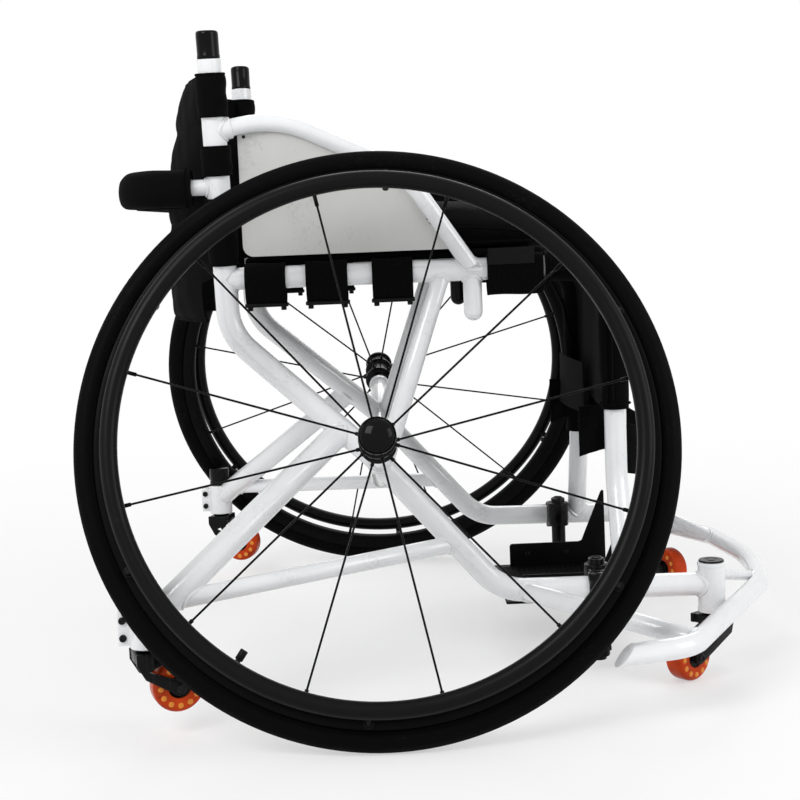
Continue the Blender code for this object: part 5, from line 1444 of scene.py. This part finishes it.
class AddBackSling(bpy.types.Operator):
    """The back's cloth: a sagging panel with sewn channels and sleeves round the posts"""

    bl_idname = "chair.add_back_sling"
    bl_label = "Back sling"

    def execute(self, context):
        low, high, rows = 0.408, SLING_HIGH, 56
        heights = [low + (high - low) * row / rows for row in range(rows + 1)]
        posts = {z: point_where(main_route(1), 2, max(z, SLING_LOW)) for z in heights}
        channel_height = 0.0536

        def half_width(z):
            """Narrower below the frame's bend, where the cloth hangs free of the posts."""
            share = min(1.0, max(0.0, (z - 0.452) / 0.012))
            return 0.140 + (posts[z].y - 0.140) * share

        def place(u, v):
            z = heights[min(rows, round(v * rows))]
            y = half_width(z) * (2 * u - 1)
            post = posts[z]
            middle = max(0.0, 1 - (y / post.y) ** 2)
            x = post.x - sling_sag(max(z, SLING_LOW)) * middle
            channel = abs(math.sin(math.pi * (z - low) / channel_height)) ** 0.5
            pull = 0.0008 * math.sin(61 * y + 140 * z) + 0.0006 * math.sin(173 * y - 60 * z)
            return Vector((x - 0.0045 * channel * min(1, 3 * middle) + pull * middle - 0.0005, y, z))

        def across(z):
            """The points of the panel at that height, from post to post."""
            return [place(step / 48, (z - low) / (high - low)) for step in range(49)]

        panel = grid("back_sling_panel", 64, rows, place, "back_cloth", (0.36, high - low), thickness=0.0022)
        mount(panel, "frame", "back_fabric", "back_sling")
        edges = [seam("binding", across(z), 0.0022, "strap_web") for z in (heights[0], heights[-1])]
        for row in range(1, 5):
            for shift in (-0.0012, 0.0012):
                line = across(low + channel_height * row)[1:-1]
                line = [point + UP * shift + Vector((-0.0013, 0, 0)) for point in line]
                edges.append(seam("stitches", line, 0.00045))
        mount(joined("back_sling_seams", edges), "frame", "back_fabric")
        spans = ((0.472, 0.5425), (0.5695, 0.5990), (0.6322, 0.6760))
        for name, side in SIDES:
            route = main_route(side)
            sleeves, hems = [], []
            for index, (bottom, top) in enumerate(spans):
                path = stretch_of(route[::-1], point_where(route, 2, bottom), point_where(route, 2, top))

                def shape(angle, share, index=index):
                    folds = 0.018 * math.sin(3 * angle + 9 * share + index)
                    folds += 0.022 * math.sin(11 * share + 2 * angle)
                    return 1.0 + folds - 0.06 * (2 * share - 1) ** 6

                sleeve = soft_tube("sleeve", path, 0.0166, "back_cloth", 40, shape, 0.003)
                thicken(sleeve, 0.0015, -1)
                apply_modifiers(sleeve)
                sleeves.append(sleeve)
                way = (path[-1] - path[0]).normalized()
                for edge in (path[0], path[-1]):
                    hems.append(seam("hem", ring_round(edge, way, 0.0150), 0.0017, "strap_web", closed=True))
            wrap = mount(joined(f"{name}_post_sleeves", sleeves), "frame", "back_fabric")
            mount(joined(f"{name}_post_hems", hems), "frame", "back_fabric")
        return {"FINISHED"}


def pad_section(angle):
    """The pad's squarish section: its reach inward and upward, cut back at the corner outward and up."""
    inward = math.copysign(abs(math.cos(angle)) ** 0.6, math.cos(angle))
    upward = math.copysign(abs(math.sin(angle)) ** 0.6, math.sin(angle))
    cut = 1 - 0.16 * max(0.0, -inward) * max(0.0, upward)
    return inward * cut, upward * cut


class AddBowPad(bpy.types.Operator):
    """The padded roll round the back bow, with its seam and end piping"""

    bl_idname = "chair.add_bow_pad"
    bl_label = "Bow pad"

    def execute(self, context):
        route = bow_route()
        half = len(route) // 2
        pad_x, spacing = AXLE_X - 0.1925, 0.006
        start, end = (point_where(part, 0, pad_x) for part in (route[: half + 1], route[half:]))
        path = evenly(stretch_of(route, start, end), spacing)
        last = len(path) - 1
        sideways = []
        for _, _, tangent in frames_along(path):
            sideways.append(Vector((tangent.x, tangent.y, 0)).normalized().cross(UP))

        def place(u, v):
            _, index, inside = row_of(v, last)
            angle = u * math.tau
            rolled = {-3: 0.02, -2: 0.55, -1: 0.86, 0: 0.95}.get(inside, 1.0)
            wrinkle = 1 + 0.012 * math.sin(5 * angle + 0.9 * index)
            wrinkle += 0.010 * math.sin(0.47 * index + 2 * angle)
            inward, upward = pad_section(angle)
            reach = rolled * wrinkle
            return path[index] + sideways[index] * (0.0200 * reach * inward) + UP * (0.0208 * reach * upward)

        size = (0.135, spacing * last)
        pad = grid("bow_pad", 40, last + 2 * END_ROWS, place, "pad_cloth", size, wrap=True, levels=1)
        mount(pad, "frame", "back_fabric", "bow_padding")
        seams = [seam("closing", [path[index] - UP * 0.0212 for index in range(2, last - 1)], 0.0009)]
        for index in (1, last - 1):
            ring = []
            for step in range(44):
                inward, upward = pad_section(math.tau * step / 44)
                ring.append(path[index] + sideways[index] * (0.0201 * inward) + UP * (0.0209 * upward))
            seams.append(seam("piping", ring, 0.0011, "strap_web", closed=True))
        mount(joined("bow_pad_piping", seams), "frame", "back_fabric")
        return {"FINISHED"}


CUSHION_REAR, CUSHION_FRONT, CUSHION_HALF = -0.138, 0.200, 0.162
CUSHION_BOTTOM, CUSHION_EDGE, CUSHION_CROWN, CUSHION_DROP = 0.478, 0.028, 0.024, 0.010
CUSHION_MIDDLE = (CUSHION_FRONT + CUSHION_REAR) / 2


def cushion_point(u, v, layer):
    """A point of the cushion's crowned top or flat bottom, with the corners rounded."""
    half_run = (CUSHION_FRONT - CUSHION_REAR) / 2
    round_u, round_v = u * math.sqrt(1 - v**8 / 6), v * math.sqrt(1 - u**8 / 6)
    crown = CUSHION_CROWN * (1 - u**6) * (1 - v**6)
    slope = CUSHION_DROP * max(0.0, u) ** 3
    height = CUSHION_BOTTOM + layer * (CUSHION_EDGE + crown - slope)
    return at(1, CUSHION_MIDDLE + half_run * round_u, CUSHION_HALF * round_v, height)


class AddCushion(bpy.types.Operator):
    """The seat cushion: a padded cover swelled by cloth, with piping and a sewn border"""

    bl_idname = "chair.add_cushion"
    bl_label = "Seat cushion"

    def execute(self, context):
        narrower, taller = 0.985, 1.06
        source = frame["nodes"]["seat_cushion"]
        obj = bpy.data.objects.new("seat_pad", source.data.copy())
        context.scene.collection.objects.link(obj)
        recalculate(obj)
        middle = sum((vertex.co for vertex in obj.data.vertices), Vector()) / len(obj.data.vertices)
        for vertex in obj.data.vertices:
            vertex.co.x = middle.x + (vertex.co.x - middle.x) * narrower
            vertex.co.y *= narrower
            vertex.co.z = CUSHION_BOTTOM + (vertex.co.z - CUSHION_BOTTOM) * taller
        swelled(obj, context.scene.chair_sizes.cushion_cap)
        for vertex in obj.data.vertices:
            vertex.co.z = max(vertex.co.z, CUSHION_BOTTOM + 0.0005)
        soften(obj, 1)
        apply_modifiers(obj)
        smooth(obj, math.radians(80))
        dress(obj, "cushion_mesh")
        mount(obj, "frame", "cushion_cover", "seat_cushion")
        pieces = []
        for layer, drop, share in ((1, 0.004, 0.998), (0, -0.006, 0.99)):
            ring = []
            for step in range(120):
                angle = math.tau * step / 120
                c, s = math.cos(angle), math.sin(angle)
                scale = 1 / max(abs(c), abs(s))
                point = cushion_point(c * scale, s * scale, layer)
                point.z -= drop
                centre = at(1, CUSHION_MIDDLE, 0, point.z)
                ring.append(centre + (point - centre) * share)
            pieces.append(seam("piping", ring, 0.0021, "strap_web", closed=True))
        mount(joined("seat_pad_piping", pieces), "frame", "cushion_cover")
        return {"FINISHED"}


STRAPS = ((-0.1175, 0.045), (-0.050, 0.046), (0.0225, 0.045), (0.158, 0.062))


class AddSeatStraps(bpy.types.Operator):
    """The seat's cloth pan, its webbing straps round the rails and their hanging bars"""

    bl_idname = "chair.add_seat_straps"
    bl_label = "Seat straps"

    def execute(self, context):
        bottom = RAIL_HEIGHT + RAIL_RADIUS + 0.0003
        low, high = at(1, -0.140, -0.163, bottom), at(1, 0.190, 0.163, bottom + 0.0096)
        pan = block("seat_pan", low, high, "back_cloth", 0.0042)
        spread_uv(pan)
        mount(pan, "frame", "webbing", "seat_sling")
        bars = []
        for name, side in SIDES:
            rail = rail_route(side)
            for index, (x, width) in enumerate(STRAPS):
                middle = point_where(rail, 0, AXLE_X + x)

                def place(u, v, middle=middle, width=width, index=index):
                    """Round the rail's top, then hanging straight down to a narrow loop."""
                    angle = u * math.tau
                    across, up = math.sin(angle), math.cos(angle)
                    reach, hang = 0.0150, 0.0285
                    y, z = reach * across, reach * up
                    if up <= 0:
                        y, z = y * (1 - 0.30 * min(1.0, -up) ** 2), up * hang
                    ripple = 0.0005 * math.sin(7 * v + 3 * angle + index)
                    return middle + Vector((width * (v - 0.5), y * (1 + ripple * 40), z + ripple))

                strap_name = f"{name}_seat_strap_{index + 1}"
                size = (0.118, width)
                strap = grid(strap_name, 48, 14, place, "strap_web", size, wrap=True, thickness=0.0022)
                mount(strap, "frame", "webbing")
                if index == len(STRAPS) - 1:
                    continue
                bar_low = middle - Vector((width / 2 + 0.0015, 0.0055, 0.0325))
                bar_high = middle + Vector((width / 2 + 0.0015, 0.0055, -0.0280))
                bars.append(block("bar", bar_low, bar_high, "buckle_black", 0.0014))
                for end in (-1, 1):
                    knob = middle + Vector((end * (width / 2 - 0.004), 0, -0.0322))
                    bars.append(bar("knob", knob, knob - UP * 0.0042, 0.0030, "buckle_black", 0.0006, 20))
            face = point_where(rail, 0, AXLE_X + STRAPS[-1][0] - 0.0045) + Vector((0, side * 0.0158, 0))
            low, high = face + Vector((-0.0255, -0.0008, 0.0045)), face + Vector((0.0255, 0.0008, 0.0225))
            patch = block("patch", low, high, "patch_grey", 0.0006)
            spread_uv(patch)
            bars.append(patch)
        mount(joined("strap_bars", bars), "frame", "webbing")
        return {"FINISHED"}


def spread_uv(obj):
    """A flat UV map in metres, read from the side that each face looks to."""
    layer = obj.data.uv_layers.active or obj.data.uv_layers.new(name="UVMap")
    for face in obj.data.polygons:
        drop = max(range(3), key=lambda axis: abs(face.normal[axis]))
        keep = [axis for axis in range(3) if axis != drop]
        for index in face.loop_indices:
            place = obj.data.vertices[obj.data.loops[index].vertex_index].co
            layer.data[index].uv = (place[keep[0]], place[keep[1]])


# The two seams that show on the inner side of the left sleeve, as pairs of X and height
ZIPS = (
    ((0.2470, 0.402), (0.2510, 0.378), (0.2560, 0.349), (0.2590, 0.338), (0.2690, 0.334)),
    ((0.2690, 0.396), (0.2755, 0.385), (0.2735, 0.362), (0.2715, 0.342)),
)


class AddKneeSleeves(bpy.types.Operator):
    """Padded sleeves over the rails' front bends, with a closing flap and cuffs"""

    bl_idname = "chair.add_knee_sleeves"
    bl_label = "Knee sleeves"

    def execute(self, context):
        for name, side in SIDES:
            rail = rail_route(side)
            start = point_where(rail, 0, AXLE_X + 0.1905)
            end = point_where(rail[2:], 2, 0.293)
            path = stretch_of(rail, start, end)

            def shape(angle, share):
                """Folds at the bend, small creases elsewhere, and slimmer towards the lower end."""
                bend = math.exp(-(((share - 0.33) / 0.16) ** 2))
                folds = 0.030 * bend * math.sin(46 * share) * (0.6 + 0.4 * math.cos(angle))
                slim = 0.09 * max(0.0, share - 0.45) / 0.55
                creases = 0.014 * math.sin(3 * angle + 12 * share)
                return 1.0 - slim + folds + creases + 0.01 * math.sin(5 * angle - 31 * share)

            sleeve = soft_tube(f"{name}_rail_sleeve", path, 0.0170, "sleeve_cloth", 44, shape, 0.0035)
            mount(sleeve, "frame", "knee_sleeve", f"{name}_knee_sleeve")
            even = evenly(path, 0.006)
            outer = Vector((0, side, 0))
            stitches, edge = [], []
            for point, (_, _, tangent) in zip(even, frames_along(even)):
                up = tangent.cross(outer).normalized()
                stitches.append(point + outer * 0.0174 + up * 0.004)
                edge.append(point + outer * 0.0150 + up * 0.0105)
            lines = [seam("stitches", stitches[2:-2], 0.0006), seam("edge", edge[1:-1], 0.0010, "strap_web")]
            for index in (1, len(even) - 2):
                tangent = (even[index + 1] - even[index - 1]).normalized()
                ring = ring_round(even[index], tangent, 0.0172)
                lines.append(seam("cuff", ring, 0.0011, "strap_web", closed=True))
            for corners in ZIPS if side > 0 else ():
                flat = [at(side, x, 0.1500, z) for x, z in corners]
                lines.append(seam("zip", rounded_path(flat, (0.012,) * (len(flat) - 2)), 0.0016, "strap_web"))
            mount(joined(f"{name}_sleeve_seams", lines), "frame", "knee_sleeve")
        return {"FINISHED"}


class AddLegStrap(bpy.types.Operator):
    """The wide strap that hangs behind the shins, and the loose strap ends at the posts"""

    bl_idname = "chair.add_leg_strap"
    bl_label = "Leg strap"

    def execute(self, context):
        low, high = 0.2235, 0.277
        posts = rail_route(1)[3:]
        post = point_where(posts, 2, (low + high) / 2)

        def place(u, v):
            """From post to post, bowed forward and drooping in the middle."""
            bow = math.sin(math.pi * u)
            slack = 0.0015 * math.sin(31 * u + 5 * v) * bow
            curl = 0.002 * bow * (2 * v - 1) ** 2
            x = post.x + 0.060 * bow + slack - curl
            return Vector((x, -post.y * math.cos(math.pi * u), low + (high - low) * v - 0.017 * bow))

        band = grid("shin_band", 72, 18, place, "strap_web", (0.40, high - low), thickness=0.0024)
        mount(band, "frame", "webbing", "leg_strap")
        edges = hem_lines(place, 0.0018, 0.10, Vector((0.0013, 0, 0)))
        mount(joined("shin_band_seams", edges), "frame", "webbing")
        for name, side in SIDES:
            start = point_where(rail_route(side)[3:], 2, 0.27)
            tail_width = 0.05

            def tail(u, v, start=start, side=side):
                """The band's end, led back past the post's inner face and hanging down in a fold."""
                drop = 0.008 * u**2 + 0.004 * math.sin(9 * v) * u
                wave = 0.0022 * math.sin(7 * u + 4 * v)
                z = 0.245 + tail_width * v - drop * (1 - v)
                return Vector((start.x - 0.003 - 0.036 * u, start.y - side * (0.0152 + wave), z))

            end = grid(f"{name}_band_tail", 18, 14, tail, "strap_web", (0.036, tail_width), thickness=0.0022)
            mount(end, "frame", "webbing")
        posts = rail_route(1)[2:]
        cuff_height = 0.0705

        def cuff(u, v):
            """The strap's turn round the left post, closed up to the sleeve."""
            centre = point_where(posts, 2, low + cuff_height * v)
            return centre + spot(0.0152 + 0.0006 * math.sin(3 * math.tau * u + 9 * v), math.tau * u)

        turn = grid("left_band_cuff", 44, 14, cuff, "strap_web", (0.095, 0.07), wrap=True, thickness=0.002)
        mount(turn, "frame", "webbing")
        pad_height = 0.064

        def pad(u, v):
            """The square pad that leads from the left post to the front panel."""
            x = 0.2405 + 0.0185 * u + 0.002 * math.sin(2 * v)
            bow = 0.003 * math.sin(math.pi * u)
            return at(1, x - bow, 0.150 - 0.088 * u, 0.266 + pad_height * v - 0.006 * u)

        square = grid("left_band_pad", 30, 22, pad, "patch_grey", (0.09, pad_height), thickness=0.0024)
        mount(square, "frame", "webbing")
        return {"FINISHED"}


def hem_lines(place, radius, inset, shift):
    """Bound edges along the top and bottom of a cloth between the posts, and a stitch line inside each."""
    lines = []
    for v in (0.0, 1.0):
        lines.append(seam("hem", [place(step / 60, v) for step in range(61)], radius, "strap_web"))
    for v in (inset, 1 - inset):
        lines.append(seam("stitches", [place(step / 60, v) + shift for step in range(2, 59)], 0.0005))
    return lines


class AddFrontPanel(bpy.types.Operator):
    """The cloth between the front posts, behind the knees' bend"""

    bl_idname = "chair.add_front_panel"
    bl_label = "Front panel"

    def execute(self, context):
        low, high = 0.297, 0.438
        posts = rail_route(1)[2:]

        def place(u, v):
            """Stretched from sleeve to sleeve, with a lower edge that droops and a few long folds."""
            post = point_where(posts, 2, low + (high - low) * v)
            bow = math.sin(math.pi * u)
            droop = 0.017 * bow * (1 - v)
            folds = 0.0012 * math.sin(23 * u + 3 * v) * bow
            x = post.x + 0.005 * bow + folds
            return Vector((x, -(post.y - 0.012) * math.cos(math.pi * u), post.z - droop))

        panel = grid("front_panel", 64, 30, place, "sleeve_cloth", (0.31, high - low), thickness=0.0024)
        mount(panel, "frame", "webbing")
        edges = hem_lines(place, 0.0016, 0.08, Vector((-0.0013, 0, 0)))
        mount(joined("front_panel_hems", edges), "frame", "webbing")
        return {"FINISHED"}


# Footrest
FOOT_STEM_X = 0.2375
FOOT_STEM_RADIUS = 0.0093


def foot_stem_y(arm):
    """How far out a footrest stem stands, inside the side tube with the clamp in between."""
    return abs(arm.y) - 0.013 - 0.0035 - FOOT_STEM_RADIUS


class AddFootrest(bpy.types.Operator):
    """Footrest: two stems with collars, a crossbar, and a tray with a ribbed mat and side fins"""

    bl_idname = "chair.add_footrest"
    bl_label = "Footrest"

    def execute(self, context):
        y = foot_stem_y(point_where(arm_part(main_route(1)), 0, AXLE_X + FOOT_STEM_X))
        pieces = [block("bar", at(1, 0.2265, -y, 0.0432), at(1, 0.2485, y, 0.0552), "tray_black", 0.0018)]
        for side in (-1, 1):

            def on_stem(z, forward=0.0, side=side):
                return at(side, FOOT_STEM_X + forward, y, z)

            pieces.append(bar("stem", on_stem(0.012), on_stem(0.128), FOOT_STEM_RADIUS, "fork_black", 0.0012))
            pieces.append(bar("collar", on_stem(0.016), on_stem(0.056), 0.013, "tray_black", 0.0016))
            for z in (0.024, 0.048):
                seat = on_stem(z, 0.0125)
                pieces.append(screw("bolt", seat, Vector((1, 0, 0)), 0.0034, "bolt_black", 0.0022))
            pieces.append(screw("end", on_stem(0.128), UP, 0.0060, "bolt_black", 0.0016))
        mount(joined("footrest_carrier", pieces), "footrest", "footrest", "footrest_frame")
        top, thick, fin_y = 0.0585, 0.003, 0.0875
        floor_low, floor_high = at(1, 0.142, -0.098, top - thick), at(1, 0.288, 0.098, top)
        mat_low, mat_high = at(1, 0.150, -0.080, top), at(1, 0.281, 0.080, top + 0.0010)
        pieces = [block("floor", floor_low, floor_high, "tray_black", 0.0009)]
        pieces.append(block("mat", mat_low, mat_high, "grip_rubber", 0.0004))
        for row in range(20):
            x = 0.1535 + row * 0.0065
            low, high = at(1, x, -0.077, top + 0.0008), at(1, x + 0.0028, 0.077, top + 0.0019)
            pieces.append(block("rib", low, high, "grip_rubber", 0.0004, segments=2))
        outline = (
            (0.162, top - thick / 2), (0.162, 0.085), (0.1635, 0.0875), (0.166, 0.088), (0.252, 0.088),
            (0.256, 0.0895), (0.282, 0.1525), (0.2845, 0.155), (0.2862, 0.1535), (0.287, top - thick / 2),
        )
        for side in (-1, 1):
            points = [at(side, x, fin_y, z) for x, z in outline]
            pieces.append(plate("fin", points, thick, "tray_black", 0.0007))
            for x in (0.185, 0.235):
                for face in (-1, 1):
                    seat = at(side, x, fin_y + face * thick / 2, 0.074)
                    way = Vector((0, side * face, 0))
                    pieces.append(screw("bolt", seat, way, 0.0034, "bolt_black", 0.0018))
        mount(joined("foot_tray", pieces), "footrest", "footrest", "footrest_tray")
        return {"FINISHED"}


class AddFootClamps(bpy.types.Operator):
    """Black clamps that hold the footrest's stems on the side tubes"""

    bl_idname = "chair.add_foot_clamps"
    bl_label = "Footrest clamps"

    def execute(self, context):
        for name, side in SIDES:
            route = arm_part(main_route(side))
            rear, front = (point_where(route, 0, AXLE_X + x) for x in (0.224, 0.251))
            arm = (rear + front) / 2
            y = foot_stem_y(arm)
            low, high = at(side, FOOT_STEM_X, y, 0.090), at(side, FOOT_STEM_X, y, 0.122)
            pieces = [bar("ring", rear, front, 0.0175, "fork_black", 0.0016)]
            pieces.append(bar("post", low, high, 0.0138, "fork_black", 0.0014))
            inner, outer = sorted((side * y, arm.y))
            half = 0.0105
            low, high = (arm.x - half, inner, 0.093), (arm.x + half, outer, 0.119)
            pieces.append(block("bridge", low, high, "fork_black", 0.0016))
            for z in (0.098, 0.114):
                seat, back = (Vector((arm.x + shift, (inner + outer) / 2, z)) for shift in (half, -half))
                nut_end = back - Vector((0.003, 0, 0))
                pieces.append(screw("bolt", seat, Vector((1, 0, 0)), 0.0036, "bolt_black", 0.0034))
                pieces.append(bar("nut", back, nut_end, 0.0040, "bolt_black", 0.0004, 6))
            mount(joined(f"{name}_foot_clamp", pieces), "frame", "footrest", f"{name}_footrest_clamp")
        return {"FINISHED"}


# Stage: the camera is the one fitted to the photograph from both drive wheels
CAMERA_PLACE = (0.0139, -1.8474, 0.5085)
CAMERA_YAW, CAMERA_PITCH, CAMERA_ROLL = (math.radians(angle) for angle in (0.389, 6.653, -2.331))
FOCAL_PIXELS, PICTURE_PIXELS, SENSOR_WIDTH = 1512.4, 800, 36

# Lamps: name, place, size and power
LAMPS = (
    ("key", (-1.6, -2.2, 2.4), 1.5, 50.0),
    ("fill", (2.4, -1.6, 1.5), 1.6, 26.0),
    ("back", (0.3, 2.4, 2.2), 1.8, 26.0),
)


def grey(level):
    return (level, level, level)


def seen_rays(tree):
    """One for the rays that show the background: the camera's, reflected and transmitted ones."""
    rays = tree.nodes.new("ShaderNodeLightPath").outputs
    mirrored_rays = maths(tree, "MAXIMUM", rays["Is Glossy Ray"], rays["Is Transmission Ray"])
    return maths(tree, "MAXIMUM", rays["Is Camera Ray"], mirrored_rays)


def floor_material():
    """A matt white that glows for the camera, more so far from the chair, where the floor meets the room."""
    constants = {"Roughness": 0.9, "Specular IOR Level": 0.2}
    made, tree, place, _ = new_material("pale_floor", grey(0.93), constants)
    shader = tree.nodes["Principled BSDF"]
    cloudy = noise(tree, place, 90.0, 2.0)
    tree.links.new(mixed(tree, cloudy, grey(0.925), grey(0.935)), shader.inputs["Base Color"])
    far = add_node(tree, "ShaderNodeVectorMath", {0: place}, operation="LENGTH").outputs["Value"]
    white = add_node(tree, "ShaderNodeEmission", {"Color": (1, 1, 1, 1), "Strength": 1.0}).outputs[0]
    share = spread(tree, ramp(tree, far, 0.6, 1.9), 0.5, 1.0)
    mask = times(tree, seen_rays(tree), share)
    blend = add_node(tree, "ShaderNodeMixShader", {0: mask, 1: shader.outputs[0], 2: white})
    tree.links.new(blend.outputs[0], tree.nodes["Material Output"].inputs["Surface"])
    return made


def studio_world():
    """Soft white light, with a brighter white behind the chair for the rays that see it."""
    world = bpy.data.worlds.new("studio")
    world.use_nodes = True
    tree = world.node_tree
    soft = tree.nodes["Background"]
    soft.inputs["Color"].default_value = (1, 1, 1, 1)
    soft.inputs["Strength"].default_value = 0.55
    clear = add_node(tree, "ShaderNodeBackground", {"Color": (1, 1, 1, 1), "Strength": 1.0})
    inputs = {0: seen_rays(tree), 1: soft.outputs[0], 2: clear.outputs[0]}
    blend = add_node(tree, "ShaderNodeMixShader", inputs)
    tree.links.new(blend.outputs[0], tree.nodes["World Output"].inputs["Surface"])
    return world


def camera_turn():
    """The camera's rotation from its yaw, its pitch and its roll."""
    yaw, pitch, roll = CAMERA_YAW, CAMERA_PITCH, CAMERA_ROLL
    right = Vector((math.cos(yaw), -math.sin(yaw), 0))
    ahead = Vector((math.sin(yaw) * math.cos(pitch), math.cos(yaw) * math.cos(pitch), -math.sin(pitch)))
    up = right.cross(ahead)
    rolled = right * math.cos(roll) + up * math.sin(roll)
    lifted = up * math.cos(roll) - right * math.sin(roll)
    return Matrix((rolled, lifted, -ahead)).transposed().to_4x4()


class AddStage(bpy.types.Operator):
    """A plain white floor, soft studio light and the camera at the photograph's angle"""

    bl_idname = "chair.add_stage"
    bl_label = "Stage"

    def execute(self, context):
        scene = context.scene
        deselect()
        bpy.ops.mesh.primitive_plane_add(size=60, location=(0, 0, -0.0005))
        floor = active()
        settle(floor)
        floor.name = "floor"
        floor.data.materials.append(floor_material())
        scene.world = studio_world()
        for name, place, size, power in LAMPS:
            light = bpy.data.lights.new(name, "AREA")
            light.energy = power
            light.size = size
            lamp = bpy.data.objects.new(name, light)
            lamp.location = place
            lamp.rotation_euler = (Vector((0, 0, 0.3)) - Vector(place)).to_track_quat("-Z", "Y").to_euler()
            scene.collection.objects.link(lamp)
        camera = bpy.data.cameras.new("photo_view")
        camera.sensor_width = SENSOR_WIDTH
        camera.lens = FOCAL_PIXELS / PICTURE_PIXELS * SENSOR_WIDTH
        viewer = bpy.data.objects.new("photo_view", camera)
        viewer.matrix_world = Matrix.Translation(at(1, *CAMERA_PLACE)) @ camera_turn()
        scene.collection.objects.link(viewer)
        scene.camera = viewer
        scene.view_settings.view_transform = "Standard"
        return {"FINISHED"}


PIECES = (
    AddStage, AddTyres, AddRims, AddHandrims, AddHubs, AddAxles, AddSideTubes, AddBumper, AddStruts, AddWelds,
    AddPostCaps, AddGuards, AddForks, AddCasterWheels, AddBackSling, AddBowPad, AddCushion, AddSeatStraps,
    AddKneeSleeves, AddFrontPanel, AddLegStrap, AddFootrest, AddFootClamps,
)


class WheelchairPanel(bpy.types.Panel):
    """Lists the chair's sizes, colours and pieces"""

    bl_idname = "VIEW3D_PT_court_wheelchair"
    bl_label = "Court wheelchair"
    bl_space_type = "VIEW_3D"
    bl_region_type = "UI"
    bl_category = "Wheelchair"

    def draw(self, context):
        layout = self.layout
        for group in (context.scene.chair_sizes, context.scene.chair_colours):
            box = layout.box()
            for key in group.__annotations__:
                box.prop(group, key)
        for piece in PIECES:
            layout.operator(piece.bl_idname)


def register():
    for made in (ChairSizes, ChairColours, *PIECES, WheelchairPanel):
        bpy.utils.register_class(made)
    bpy.types.Scene.chair_sizes = bpy.props.PointerProperty(type=ChairSizes)
    bpy.types.Scene.chair_colours = bpy.props.PointerProperty(type=ChairColours)


def unregister():
    del bpy.types.Scene.chair_sizes
    del bpy.types.Scene.chair_colours
    for made in (WheelchairPanel, *reversed(PIECES), ChairColours, ChairSizes):
        bpy.utils.unregister_class(made)


def main():
    register()
    for piece in PIECES:
        group, name = piece.bl_idname.split(".")
        getattr(getattr(bpy.ops, group), name)()
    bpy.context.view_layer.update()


if __name__ == "__main__":
    main()
